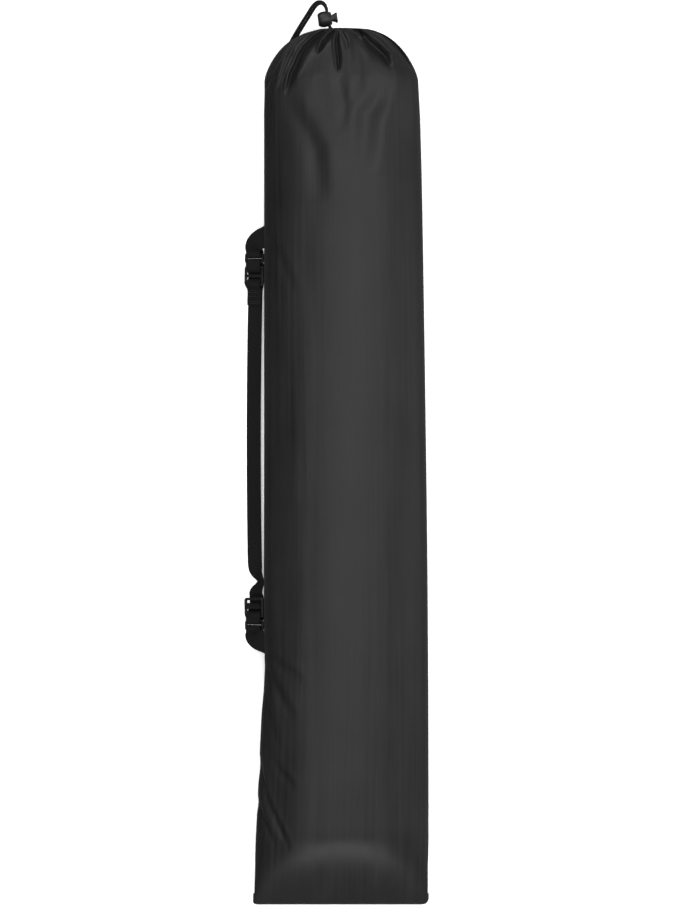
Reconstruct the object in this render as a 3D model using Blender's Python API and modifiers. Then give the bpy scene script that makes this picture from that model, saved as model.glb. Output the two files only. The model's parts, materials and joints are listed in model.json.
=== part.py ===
"""A set of twelve weave poles packed in its drawstring carry bag, lying on its back.

Metres, +Z up. The bag lies along Y with its mouth at +Y, and it rests on the plane z = 0.
The origin is the middle of the underside.
"""

import math

import bmesh
import bpy
from mathutils import Matrix, Vector

# ---------------------------------------------------------------- driving dimensions
GAP = 0.0003  # between pieces that touch on the real object

BAG_LENGTH = 1.000  # bottom seam to crown
LOFT = 0.0045  # how far the packed bag stands above its poles
SIDE_ROOM = 0.0252  # from the pile of poles to the left side seam
SEAM_HEIGHT = 0.034  # of the side seams above the floor
SEAT_SINK = 0.006  # how far the round underside would reach below the floor
PANEL_WALL = 0.0012
LEFT_FLARE = 0.0132  # extra width at the bottom left corner
FLARE_START = -0.215  # along Y
RIGHT_EXTRA = 0.0115  # how much further out the right edge is at the bottom
RIGHT_TAPER = 0.0114  # how much narrower the right side is at the shoulder
DOME_LENGTH = 0.060  # of the shoulder that closes towards the mouth
DOME_POWER = 1.45
DOME_ROUNDNESS = 2.3
CROWN_RADIUS = 0.020  # the shoulder closes to this ring round the mouth
WEDGE_LENGTH = 0.060  # of the bottom end that flattens to its seam
WEDGE_POWER = 2.2
END_SEAM_HEIGHT = 0.010
END_HALF_THICKNESS = 0.0030
UPPER_POWER = 2.1
LOWER_POWER = 2.8
END_POWER = 8.0  # the flat bottom end is nearly rectangular

MOUTH_DEPTH = 0.0085  # of the gathered ring's centre below the crown
MOUTH = Vector((0.0020, BAG_LENGTH / 2 - MOUTH_DEPTH, 0.0400))
CORD_DIAMETER = 0.0034
RING_RADIUS = 0.0115  # of the drawstring's loop in the casing
CASING_RADIUS = 0.0050
CASING_BORE = CORD_DIAMETER / 2 + 2 * GAP
CORD_PITCH = CORD_DIAMETER + GAP  # between the two strands of the tail

LOCK_CENTRE = MOUTH + Vector((-0.0210, 0.0185, 0))
LOCK_TILT = math.radians(8)
PLUNGER_RADIUS = (CORD_PITCH + CORD_DIAMETER) / 2 + 2 * GAP + 0.00045  # leaves the window's sides
LOCK_RADIUS = PLUNGER_RADIUS + 0.0044
LOCK_HOLE_X = 0.0035  # of the cord hole from the ball's centre
LOCK_BACK = -0.0078
LOCK_FRONT = 0.0080
LOCK_BORE_END = -0.0060
PLUNGER_RUNNING_GAP = 0.0003
PLUNGER_TRAVEL = 0.0034
FLANGE_RADIUS = PLUNGER_RADIUS + 0.0012
FLANGE_THICKNESS = 0.0028
SPRING_WIRE = 0.0005
SPRING_TURNS = 3

POLE_DIAMETER = 0.025
POLE_WALL = 0.0016
POLE_PITCH = POLE_DIAMETER + GAP + 0.0001
POLE_TOP = BAG_LENGTH / 2 - 0.055
CAP_HEIGHT = 0.006
TUBE_LENGTH = 0.813
SPIKE_LENGTH = 0.070
SPIKE_RADIUS = 0.0040
PLUG_LENGTH = 0.025
PILE_CENTRE = 0.0015
PILE_ROWS = (5, 4, 3)

PILE_HEIGHT = POLE_DIAMETER + (len(PILE_ROWS) - 1) * POLE_PITCH * math.sin(math.pi / 3)
BAG_HEIGHT = PILE_HEIGHT + 2 * PANEL_WALL + 2 * GAP + LOFT
LEFT_HALF_WIDTH = (PILE_ROWS[0] - 1) / 2 * POLE_PITCH + POLE_DIAMETER / 2 + SIDE_ROOM

WEBBING_WIDTH = 0.020
WEBBING_THICKNESS = 0.0014
STRAP_LEAN = math.radians(35)  # the webbing stands on its outer edge against the bag
STRAP_X = -LEFT_HALF_WIDTH - 0.0109
STRAP_BULGE = 0.0030
STRAP_END_Z = 0.0128
STRAP_SAG = 0.0034
UPPER_RING_Y = 0.2400
LOWER_RING_Y = -0.1800
SIDE_BAR = 0.0027
FRAME_WIDTH = WEBBING_WIDTH + 2 * SIDE_BAR + 0.0008  # of the ring and of the sliders
FRAME_THICKNESS = 0.0030
RING_LENGTH = 0.0120
SLIDER_LENGTH = 0.0226
END_BAR = 0.0028
CENTRE_BAR = 0.0034
SLIDER_CLEARANCE = 0.0030  # between ring and slider
UPPER_ROOT_Y = 0.2640
LOWER_ROOT_Y = -0.1990
TAB_WIDTH = 0.025
SEWN_END_Y = 0.1864

ROUND_STEPS = 16

# Worked out from the values above.
MOUTH_Y = BAG_LENGTH / 2
BOTTOM_Y = -BAG_LENGTH / 2
DOME_START = MOUTH_Y - DOME_LENGTH
WEDGE_START = BOTTOM_Y + WEDGE_LENGTH
TUBE_TOP = POLE_TOP - CAP_HEIGHT
TUBE_BOTTOM = TUBE_TOP - TUBE_LENGTH
BEND_ROOM = WEBBING_THICKNESS / 2 + GAP + 0.0002  # from a frame to the webbing's middle
WRAP = math.hypot(END_BAR, FRAME_THICKNESS) / 2 + BEND_ROOM
SLOT_LENGTH = (SLIDER_LENGTH - 2 * END_BAR - CENTRE_BAR) / 2
BUCKLE_Y = UPPER_RING_Y - RING_LENGTH / 2 - SLIDER_CLEARANCE - SLIDER_LENGTH / 2
SLIDER_Y = LOWER_RING_Y + RING_LENGTH / 2 + SLIDER_CLEARANCE + SLIDER_LENGTH / 2


# ---------------------------------------------------------------- Blender helpers
def clear_scene():
    for old in list(bpy.data.objects):
        bpy.data.objects.remove(old)


def make_collection(name):
    found = bpy.data.collections.new(name)
    bpy.context.scene.collection.children.link(found)
    return found


def make_material(name, colour, roughness, metallic=0.0):
    made = bpy.data.materials.new(name)
    made.use_nodes = True
    shader = made.node_tree.nodes["Principled BSDF"]
    shader.inputs["Base Color"].default_value = (*colour, 1.0)
    shader.inputs["Roughness"].default_value = roughness
    shader.inputs["Metallic"].default_value = metallic
    return made


def add_object(name, data, material, collection=None):
    made = bpy.data.objects.new(name, data)
    (collection or PARTS).objects.link(made)
    if material and not data.materials:
        data.materials.append(material)
    return made


def mesh_from(name, work):
    bmesh.ops.recalc_face_normals(work, faces=work.faces)
    mesh = bpy.data.meshes.new(name)
    work.to_mesh(mesh)
    work.free()
    return mesh


def make_cutter(name, data):
    cutter = add_object(name, data, None, CUTTERS)
    cutter.hide_render = True
    cutter.display_type = "WIRE"
    return cutter


def cut(target, cutter):
    boolean = target.modifiers.new("cut", "BOOLEAN")
    boolean.operation = "DIFFERENCE"
    boolean.object = cutter


def turned_mesh(name, profile, closed=False, steps=ROUND_STEPS):
    """A profile of (radius, height) points turned about Z. It runs down its outer side."""
    mesh = bpy.data.meshes.new(name)
    count = len(profile)
    edges = [(i, i + 1) for i in range(count - 1)]
    if closed:
        edges.append((count - 1, 0))
    mesh.from_pydata([(r, 0, h) for r, h in profile], edges, [])
    return mesh


def turn(obj, steps=ROUND_STEPS):
    screw = obj.modifiers.new("turn", "SCREW")
    screw.axis = "Z"
    screw.angle = math.tau
    screw.steps = steps
    screw.render_steps = steps
    screw.use_merge_vertices = True
    screw.merge_threshold = 0.00001
    screw.use_smooth_shade = True
    return obj


def tube_curve(name, points, radius, resolution=2):
    curve = bpy.data.curves.new(name, "CURVE")
    curve.dimensions = "3D"
    curve.bevel_depth = radius
    curve.bevel_resolution = resolution
    curve.use_fill_caps = True
    spline = curve.splines.new("POLY")
    spline.points.add(len(points) - 1)
    for place, point in zip(spline.points, points):
        place.co = (*point, 1.0)
    return curve


def smooth_path(route, count):
    """Points at even spacing on a Catmull-Rom curve through the route."""
    ends = [route[0] * 2 - route[1], *route, route[-1] * 2 - route[-2]]
    fine = []
    steps = 24
    for a, b, c, d in zip(ends, ends[1:], ends[2:], ends[3:]):
        for k in range(steps):
            t = k / steps
            fine.append(
                0.5
                * (
                    2 * b
                    + (c - a) * t
                    + (2 * a - 5 * b + 4 * c - d) * t**2
                    + (3 * b - a - 3 * c + d) * t**3
                )
            )
    fine.append(route[-1].copy())
    lengths = [0.0]
    for p, q in zip(fine, fine[1:]):
        lengths.append(lengths[-1] + (q - p).length)
    found = []
    at = 0
    for k in range(count):
        want = lengths[-1] * k / (count - 1)
        while at < len(fine) - 2 and lengths[at + 1] < want:
            at += 1
        span = lengths[at + 1] - lengths[at]
        share = min(1.0, (want - lengths[at]) / span)
        found.append(fine[at].lerp(fine[at + 1], share))
    return found


# ---------------------------------------------------------------- the bag's fabric
def side_edges(y):
    """X of the bag's left and right edge at y, before the dome narrows it."""
    flare = LEFT_FLARE * (max(0.0, FLARE_START - y) / (FLARE_START - BOTTOM_Y)) ** 1.1
    taper = RIGHT_TAPER * (max(0.0, y - BOTTOM_Y) / (DOME_START - BOTTOM_Y)) ** 2.2
    return -LEFT_HALF_WIDTH - flare, LEFT_HALF_WIDTH + RIGHT_EXTRA - taper


def dome_factor(y):
    share = min(1.0, max(0.0, (y - DOME_START) / DOME_LENGTH))
    return (1 - share**DOME_POWER) ** (1 / DOME_ROUNDNESS)


def wedge_share(y):
    return min(1.0, max(0.0, (WEDGE_START - y) / WEDGE_LENGTH))


def seam_height(y):
    return SEAM_HEIGHT - (SEAM_HEIGHT - END_SEAM_HEIGHT) * wedge_share(y) ** 1.5


def section_point(y, turn_angle, inset=0.0):
    """A point of the bag's fabric at y. The angle runs from the right edge over the top."""
    left, right = side_edges(y)
    factor = dome_factor(y)
    middle = (left + right) / 2
    fullness = (1 - wedge_share(y) ** WEDGE_POWER) ** 0.8
    seam = seam_height(y)
    c, s = math.cos(turn_angle), math.sin(turn_angle)
    power = UPPER_POWER if s >= 0 else LOWER_POWER
    power += (END_POWER - power) * wedge_share(y)
    full_rise = BAG_HEIGHT - SEAM_HEIGHT if s >= 0 else SEAM_HEIGHT + SEAT_SINK
    rise = full_rise * fullness + END_HALF_THICKNESS * (1 - fullness) - inset
    x = middle + ((right - left) / 2 - inset) * math.copysign(abs(c) ** (2 / power), c)
    z = max(inset, seam + rise * math.copysign(abs(s) ** (2 / power), s))
    crown = MOUTH + Vector((c, 0, s)) * (CROWN_RADIUS - inset)
    x = x * factor + crown.x * (1 - factor)
    z = z * factor + crown.z * (1 - factor)
    return Vector((x, y - inset * (1 - factor), z))


def body_stations():
    """Y of the lower fabric's sections, closer together where the bottom end curves."""
    wedge = [BOTTOM_Y + WEDGE_LENGTH * s for s in (0.0, 0.12, 0.28, 0.5, 0.75)]
    reach = DOME_START - GAP / 2 - WEDGE_START
    return wedge + [WEDGE_START + reach * k / 8 for k in range(9)]


def top_stations():
    """Y of the gathered fabric's sections, from the shoulder's start to the crown."""
    shares = (0.0, 0.25, 0.45, 0.62, 0.76, 0.87, 0.94, 0.98)
    return [DOME_START + (GAP / 2 if s == 0 else DOME_LENGTH * s) for s in shares]


def make_panel(name, upper, stations, gathered=False):
    """Half of the bag's fabric, an open loft with a wall. The gathered part ends at the casing."""
    steps = 20
    side = 1 if upper else -1
    rim_radius = RING_RADIUS + CASING_RADIUS + GAP
    angles = [side * math.pi * k / steps for k in range(steps + 1)]
    work = bmesh.new()
    skins = []
    for inset in (0.0, PANEL_WALL):
        rows = [[section_point(y, angle, inset) for angle in angles] for y in stations]
        if gathered:
            rim = MOUTH + Vector((0, 0.0032 - inset, 0))
            rows.append([rim + Vector((math.cos(a), 0, math.sin(a))) * rim_radius for a in angles])
        for row in rows:
            for k in (0, steps):
                row[k].z += side * GAP / 2
        skins.append([[work.verts.new(point) for point in row] for row in rows])
    outer, inner = skins
    for rows in skins:
        for low, high in zip(rows, rows[1:]):
            for k in range(steps):
                work.faces.new((low[k], low[k + 1], high[k + 1], high[k]))
    for end in (0, -1):
        for k in range(steps):
            work.faces.new((outer[end][k], outer[end][k + 1], inner[end][k + 1], inner[end][k]))
    for k in (0, steps):
        for r in range(len(outer) - 1):
            work.faces.new((outer[r][k], outer[r + 1][k], inner[r + 1][k], inner[r][k]))
    return add_object(name, mesh_from(name, work), NYLON)


def make_bottom_binding():
    """The bound seam allowance that closes the bottom, inside the two panels."""
    left, right = side_edges(BOTTOM_Y)
    inset = 0.008
    depth = 0.005
    work = bmesh.new()
    bmesh.ops.create_cube(work, size=1.0)
    half = END_HALF_THICKNESS - PANEL_WALL - GAP
    size = (right - left - 2 * inset, depth, 2 * half)
    bmesh.ops.scale(work, vec=size, verts=work.verts)
    centre = ((left + right) / 2, BOTTOM_Y + depth / 2, END_SEAM_HEIGHT)
    bmesh.ops.translate(work, vec=centre, verts=work.verts)
    add_object("bottom_seam_binding", mesh_from("bottom_seam_binding", work), WEBBING)


# ---------------------------------------------------------------- the gathered mouth
def make_casing():
    """The hem that holds the drawstring: a C-shaped section, open where the panels join it."""
    open_half = math.radians(28)
    profile = []
    outer, inner = 14, 10
    for k in range(outer + 1):
        angle = -math.pi / 2 + open_half + (math.tau - 2 * open_half) * k / outer
        profile.append((RING_RADIUS + CASING_RADIUS * math.cos(angle), CASING_RADIUS * math.sin(angle)))
    for k in range(inner + 1):
        angle = -math.pi / 2 - open_half - (math.tau - 2 * open_half) * k / inner
        profile.append((RING_RADIUS + CASING_BORE * math.cos(angle), CASING_BORE * math.sin(angle)))
    profile.reverse()
    casing = add_object("drawstring_casing", turned_mesh("drawstring_casing", profile, closed=True), NYLON)
    turn(casing, 20)
    casing.matrix_world = Matrix.Translation(MOUTH) @ Matrix.Rotation(-math.pi / 2, 4, "X")
    work = bmesh.new()
    bmesh.ops.create_cube(work, size=1.0)
    strand_room = CORD_DIAMETER + 4 * GAP
    size = (strand_room, 2 * CASING_RADIUS, CORD_PITCH + strand_room)
    bmesh.ops.scale(work, vec=size, verts=work.verts)
    centre = MOUTH + Vector((-RING_RADIUS, CASING_RADIUS, 0))
    bmesh.ops.translate(work, vec=centre, verts=work.verts)
    cut(casing, make_cutter("exit_slit_cutter", mesh_from("exit_slit_cutter", work)))


def make_inner_drawstring():
    """The drawstring's loop inside the casing. Its ends turn out through the exit slit."""
    half_gap = math.radians(22)
    points = []
    count = 28
    for k in range(count + 1):
        angle = math.pi + half_gap + (math.tau - 2 * half_gap) * k / count
        points.append(MOUTH + Vector((math.cos(angle), 0, math.sin(angle))) * RING_RADIUS)
    add_object("drawstring_loop", tube_curve("drawstring_loop", points, CORD_DIAMETER / 2), CORD)


# The tails' route from the middle of the crown's height: through the lock, over the left
# shoulder, down to the floor and along the bag's side. Each place is followed by how far the
# pair is turned: 1 stacked, 0 side by side.
TAIL_ROUTE = (
    ((-0.0095, -0.0025, 0.0400), 1.0),
    ((-0.0118, -0.0008, 0.0400), 1.0),
    ((-0.0141, 0.0030, 0.0400), 1.0),
    ((-0.0155, 0.0105, 0.0400), 1.0),
    ((-0.0166, 0.0180, 0.0400), 1.0),
    ((-0.0178, 0.0236, 0.0398), 0.85),
    ((-0.0213, 0.0283, 0.0392), 0.6),
    ((-0.0268, 0.0288, 0.0378), 0.3),
    ((-0.0318, 0.0246, 0.0355), 0.1),
    ((-0.0368, 0.0172, 0.0315), 0.0),
    ((-0.0432, 0.0080, 0.0252), 0.0),
    ((-0.0500, -0.0020, 0.0170), 0.0),
    ((-0.0556, -0.0110, 0.0090), 0.0),
    ((-0.0604, -0.0205, 0.0038), 0.0),
    ((-0.0660, -0.0320, 0.0021), 0.0),
    ((-0.0717, -0.0470, 0.0020), 0.0),
    ((-0.0757, -0.0660, 0.0020), 0.0),
    ((-0.0776, -0.0870, 0.0021), 0.0),
    ((-0.0800, -0.1050, 0.0024), 0.0),
    ((-0.0822, -0.1187, 0.0040), 0.0),
)
TAIL_SHIFT = LEFT_HALF_WIDTH - 0.0885  # keeps the low end of the route beside the bag
KNOT_CENTRE = Vector((-0.0830 - TAIL_SHIFT, BAG_LENGTH / 2 - 0.1258, 0.0045))
KNOT_RADII = Vector((0.0042, 0.0066, 0.0042))


def strand_route(side):
    """Route of one of the two strands. The side is 1 for the upper or outer one, -1 for the other."""
    lowest = CORD_DIAMETER / 2 + GAP
    places = []
    for k, ((x, y, z), _) in enumerate(TAIL_ROUTE):
        beside = min(1.0, max(0.0, (k - 8) / 8))
        places.append(Vector((x - beside * TAIL_SHIFT, y + MOUTH_Y, max(z, lowest))))
    found = []
    for k, (_, stacked) in enumerate(TAIL_ROUTE):
        ahead = places[min(k + 1, len(places) - 1)] - places[max(k - 1, 0)]
        across = Vector((ahead.y, -ahead.x, 0)).normalized() * -1
        lean = stacked * math.pi / 2
        offset = across * math.cos(lean) + Vector((0, 0, 1)) * math.sin(lean)
        found.append(places[k] + offset * side * CORD_PITCH / 2)
    return found


def make_tails():
    for name, side in (("drawstring_tail_front", 1), ("drawstring_tail_back", -1)):
        points = smooth_path(strand_route(side), 56)
        add_object(name, tube_curve(name, points, CORD_DIAMETER / 2), CORD)
    work = bmesh.new()
    bmesh.ops.create_uvsphere(work, u_segments=12, v_segments=8, radius=1.0)
    bmesh.ops.scale(work, vec=KNOT_RADII, verts=work.verts)
    bmesh.ops.translate(work, vec=KNOT_CENTRE, verts=work.verts)
    add_object("drawstring_knot", mesh_from("drawstring_knot", work), CORD)


# ---------------------------------------------------------------- the cord lock
def lock_matrix(along=0.0):
    """Carries a shape turned about Z to the lock's axis, which points right and a little up."""
    turn_to_x = Matrix.Rotation(math.pi / 2, 4, "Y")
    place = Matrix.Translation(LOCK_CENTRE) @ Matrix.Rotation(LOCK_TILT, 4, "Z")
    return place @ Matrix.Translation((along, 0, 0)) @ turn_to_x


def slot_cutter(name, low, high, half_height, length):
    """A rounded slot along the lock's cord hole, from low to high along the plunger's axis."""
    work = bmesh.new()
    bmesh.ops.create_cube(work, size=1.0)
    bmesh.ops.scale(work, vec=(high - low, length, 2 * half_height), verts=work.verts)
    bmesh.ops.translate(work, vec=((low + high) / 2, 0, 0), verts=work.verts)
    cutter = make_cutter(name, mesh_from(name, work))
    cutter.matrix_world = Matrix.Translation(LOCK_CENTRE) @ Matrix.Rotation(LOCK_TILT, 4, "Z")
    soften = cutter.modifiers.new("soften", "BEVEL")
    soften.width = 0.0012
    soften.segments = 2
    return cutter


def make_lock():
    bore = PLUNGER_RADIUS + PLUNGER_RUNNING_GAP
    collar = bore + 0.0014
    reach = 0.0096  # of the ball's full outline, beyond its flat ends
    bulge = []
    for k in range(9):
        h = LOCK_FRONT - 0.0012 + (LOCK_BACK - LOCK_FRONT + 0.0012) * k / 8
        bulge.append((LOCK_RADIUS * (1 - abs(h / reach) ** 2.5) ** 0.4, h))
    rim = [(0, LOCK_BORE_END), (bore, LOCK_BORE_END), (bore, LOCK_FRONT), (collar, LOCK_FRONT)]
    profile = [*rim, *bulge, (0, LOCK_BACK)]
    body = add_object("cord_lock_body", turned_mesh("cord_lock_body", profile), LOCK_PLASTIC)
    turn(body, 20)
    body.matrix_world = lock_matrix()
    room = CORD_DIAMETER / 2 + 2 * GAP
    half_height = CORD_PITCH / 2 + CORD_DIAMETER / 2 + 2 * GAP
    cord_slot = slot_cutter("cord_slot_cutter", LOCK_HOLE_X - room, LOCK_HOLE_X + room, half_height, 0.03)
    cut(body, cord_slot)

    flange_start = LOCK_FRONT + PLUNGER_TRAVEL + GAP
    flange_end = flange_start + FLANGE_THICKNESS
    inner_end = -0.0012
    soft = 0.0006
    profile = [
        (0, flange_end),
        (FLANGE_RADIUS - soft, flange_end),
        (FLANGE_RADIUS, flange_end - soft),
        (FLANGE_RADIUS, flange_start + soft),
        (FLANGE_RADIUS - soft, flange_start),
        (PLUNGER_RADIUS, flange_start - soft),
        (PLUNGER_RADIUS, inner_end),
        (0, inner_end),
    ]
    plunger = add_object("cord_lock_plunger", turned_mesh("cord_lock_plunger", profile), LOCK_PLASTIC)
    turn(plunger, 20)
    plunger.matrix_world = lock_matrix()
    window_low = LOCK_HOLE_X - room
    window_high = LOCK_HOLE_X + room + PLUNGER_TRAVEL
    cut(plunger, slot_cutter("window_cutter", window_low, window_high, half_height, 0.03))

    points = []
    steps_per_turn = 12
    low, high = LOCK_BORE_END + SPRING_WIRE, inner_end - SPRING_WIRE
    count = SPRING_TURNS * steps_per_turn
    coil_radius = PLUNGER_RADIUS - 2 * SPRING_WIRE - GAP
    for k in range(count + 1):
        angle = math.tau * k / steps_per_turn
        height = low + (high - low) * k / count
        points.append((coil_radius * math.cos(angle), coil_radius * math.sin(angle), height))
    spring = tube_curve("cord_lock_spring", points, SPRING_WIRE / 2)
    add_object("cord_lock_spring", spring, STEEL).matrix_world = lock_matrix()


# ---------------------------------------------------------------- the poles
def make_poles():
    """Twelve poles in three rows, each a tube with a cap at the top and a ground spike below."""
    outer = POLE_DIAMETER / 2
    inner = outer - POLE_WALL
    plug = inner - GAP
    tube_profile = [(inner, TUBE_BOTTOM), (inner, TUBE_TOP), (outer, TUBE_TOP), (outer, TUBE_BOTTOM)]
    cap_low = TUBE_TOP + GAP
    cap_profile = [
        (0, POLE_TOP),
        (outer * 0.55, POLE_TOP - 0.0008),
        (outer * 0.9, POLE_TOP - 0.0030),
        (outer, cap_low + 0.0012),
        (outer, cap_low),
        (plug, cap_low),
        (plug, TUBE_TOP - PLUG_LENGTH),
        (0, TUBE_TOP - PLUG_LENGTH),
    ]
    foot = TUBE_BOTTOM - GAP
    tip = TUBE_BOTTOM - SPIKE_LENGTH
    spike_profile = [
        (0, TUBE_BOTTOM + PLUG_LENGTH),
        (plug, TUBE_BOTTOM + PLUG_LENGTH),
        (plug, foot),
        (outer, foot),
        (outer, foot - 0.003),
        (SPIKE_RADIUS, foot - 0.005),
        (SPIKE_RADIUS, tip + 0.012),
        (0, tip),
    ]
    meshes = {
        "tube": (turned_mesh("pole_tube", tube_profile, closed=True), PVC),
        "cap": (turned_mesh("pole_cap", cap_profile), CAP_PLASTIC),
        "spike": (turned_mesh("pole_spike", spike_profile), STEEL),
    }
    along_y = Matrix.Rotation(-math.pi / 2, 4, "X")
    bottom_row = PANEL_WALL + 2 * GAP + outer
    number = 0
    for row, count in enumerate(PILE_ROWS):
        z = bottom_row + row * POLE_PITCH * math.sin(math.pi / 3)
        for k in range(count):
            number += 1
            x = PILE_CENTRE + (k - (count - 1) / 2) * POLE_PITCH
            for piece, (mesh, material) in meshes.items():
                made = add_object(f"pole_{number:02d}_{piece}", mesh, material)
                turn(made, ROUND_STEPS)
                made.matrix_world = Matrix.Translation((x, 0, z)) @ along_y


# ---------------------------------------------------------------- the shoulder strap
ACROSS = Vector((math.cos(STRAP_LEAN), 0, math.sin(STRAP_LEAN)))
AWAY = Vector((-math.sin(STRAP_LEAN), 0, math.cos(STRAP_LEAN)))


def strap_centre(y):
    """The strap hangs in a shallow parabola between its two rings."""
    middle = (UPPER_RING_Y + LOWER_RING_Y) / 2
    share = (y - middle) / ((UPPER_RING_Y - LOWER_RING_Y) / 2)
    fall = 1 - share * share
    return Vector((STRAP_X - STRAP_BULGE * fall, y, STRAP_END_Z - STRAP_SAG * fall))


def strap_point(y, height):
    return strap_centre(y) + AWAY * height


def strap_frame(y):
    """Axes at y on the strap: across it, along it and away from the bag's back."""
    step = 0.005
    along = (strap_centre(y + step) - strap_centre(y - step)).normalized()
    across = (ACROSS - along * ACROSS.dot(along)).normalized()
    away = across.cross(along)
    turned = Matrix((across, along, away)).transposed().to_4x4()
    return Matrix.Translation(strap_centre(y)) @ turned


def loft(name, frames, material):
    """A strip through (centre, half width vector, half thickness vector) frames."""
    work = bmesh.new()
    rings = []
    for centre, wide, thick in frames:
        corners = (wide + thick, thick - wide, -wide - thick, wide - thick)
        rings.append([work.verts.new(centre + corner) for corner in corners])
    for a, b in zip(rings, rings[1:]):
        for k in range(4):
            work.faces.new((a[k], a[(k + 1) % 4], b[(k + 1) % 4], b[k]))
    work.faces.new(rings[0][::-1])
    work.faces.new(rings[-1])
    return add_object(name, mesh_from(name, work), material)


def ribbon(name, path, material):
    """Webbing through (y, height) places, measured along the strap and away from its plane."""
    places = [strap_point(y, h) for y, h in path]
    frames = []
    for k, place in enumerate(places):
        ahead = (places[min(k + 1, len(places) - 1)] - places[max(k - 1, 0)]).normalized()
        wide = (ACROSS - ahead * ACROSS.dot(ahead)).normalized()
        thick = wide.cross(ahead)
        frames.append((place, wide * WEBBING_WIDTH / 2, thick * WEBBING_THICKNESS / 2))
    return loft(name, frames, material)


def arc(y, start, end, radius, count=6):
    """(y, height) places round a bar's centre. Angle 0 points to +Y and 90 degrees away."""
    found = []
    for k in range(count + 1):
        angle = math.radians(start + (end - start) * k / count)
        found.append((y + radius * math.cos(angle), radius * math.sin(angle)))
    return found


def rounded_rectangle(curve, length, width, centre=0.0, corner=0.0015):
    """Adds a closed outline. Length runs along the local Y axis and width along X."""
    spline = curve.splines.new("POLY")
    points = []
    for quarter, (sx, sy) in enumerate(((1, 1), (-1, 1), (-1, -1), (1, -1))):
        for k in range(3):
            angle = math.pi / 2 * (quarter + k / 2)
            x = sx * (width / 2 - corner) + corner * math.cos(angle)
            y = centre + sy * (length / 2 - corner) + corner * math.sin(angle)
            points.append((x, y, 0.0, 1.0))
    spline.points.add(len(points) - 1)
    for place, point in zip(spline.points, points):
        place.co = point
    spline.use_cyclic_u = True


def frame_curve(name, length, holes):
    """A flat plastic frame with rectangular holes, each (centre, length)."""
    curve = bpy.data.curves.new(name, "CURVE")
    curve.dimensions = "2D"
    curve.fill_mode = "BOTH"
    curve.extrude = FRAME_THICKNESS / 2
    rounded_rectangle(curve, length, FRAME_WIDTH, corner=0.003)
    for centre, hole in holes:
        rounded_rectangle(curve, hole, FRAME_WIDTH - 2 * SIDE_BAR, centre, corner=0.0008)
    return curve


def make_hardware():
    ring_hole = RING_LENGTH - 2 * END_BAR
    slot_centre = (CENTRE_BAR + SLOT_LENGTH) / 2
    slots = [(-slot_centre, SLOT_LENGTH), (slot_centre, SLOT_LENGTH)]
    pieces = (
        ("upper_ring", UPPER_RING_Y, RING_LENGTH, [(0.0, ring_hole)]),
        ("lower_ring", LOWER_RING_Y, RING_LENGTH, [(0.0, ring_hole)]),
        ("upper_buckle", BUCKLE_Y, SLIDER_LENGTH, slots),
        ("lower_slider", SLIDER_Y, SLIDER_LENGTH, slots),
    )
    for name, y, length, holes in pieces:
        frame = add_object(name, frame_curve(name, length, holes), BUCKLE_PLASTIC)
        frame.matrix_world = strap_frame(y)


def weave_down(centre, direction):
    """(y, height) places from over an end bar, down a slot, to under the centre bar."""
    edge = FRAME_THICKNESS / 2
    over = edge + BEND_ROOM + 0.0002
    inner_edge = SLIDER_LENGTH / 2 - END_BAR
    places = (
        (SLIDER_LENGTH / 2, over),
        (inner_edge + 0.0006, over),
        (inner_edge - 0.0020, edge + 0.0002),
        (CENTRE_BAR / 2 + 0.0020, -edge - 0.0002),
        (CENTRE_BAR / 2 - 0.0006, -over),
    )
    return [(centre + direction * y, height) for y, height in places]


def make_webbing():
    bar = (RING_LENGTH - END_BAR) / 2  # of a ring's end bar from its centre
    upper_bar = UPPER_RING_Y - bar
    lower_bar = LOWER_RING_Y + bar
    half = SLIDER_LENGTH / 2
    under = -WRAP
    below = -FRAME_THICKNESS / 2 - 2 * BEND_ROOM - WEBBING_THICKNESS / 2 - 0.0006
    resting = under + WEBBING_THICKNESS + GAP
    sewn = [
        (SEWN_END_Y, resting),
        (BUCKLE_Y - half - 0.0045, resting),
        (BUCKLE_Y - half - 0.0022, 0.0006),
        *weave_down(BUCKLE_Y, -1),
        *weave_down(BUCKLE_Y, 1)[::-1],
    ]
    run_start, run_end = BUCKLE_Y - half - 0.006, SLIDER_Y + half + 0.006
    run = [(run_start + (run_end - run_start) * k / 14, under) for k in range(15)]
    main = [
        *sewn,
        *arc(upper_bar, 90, -90, WRAP),
        (BUCKLE_Y + half - 0.002, below),
        (BUCKLE_Y - half + 0.002, below),
        *run,
        (SLIDER_Y + half - 0.002, below),
        (SLIDER_Y - half + 0.002, below),
        *arc(lower_bar, 270, 180, WRAP, 3),
    ]
    ribbon("shoulder_strap", main, WEBBING)

    top = FRAME_THICKNESS / 2 + BEND_ROOM + 0.0002
    fold = [
        *arc(lower_bar, 158, 90, WRAP, 3),
        *weave_down(SLIDER_Y, -1),
        (SLIDER_Y + CENTRE_BAR / 2 - 0.0006, -top),
        (SLIDER_Y + CENTRE_BAR / 2 + 0.0022, -FRAME_THICKNESS / 2),
        (SLIDER_Y + CENTRE_BAR / 2 + 0.0022, FRAME_THICKNESS / 2),
        (SLIDER_Y + CENTRE_BAR / 2 - 0.0006, top),
        (SLIDER_Y - CENTRE_BAR / 2 + 0.0004, top),
    ]
    ribbon("strap_lower_fold", fold, WEBBING)


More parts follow.
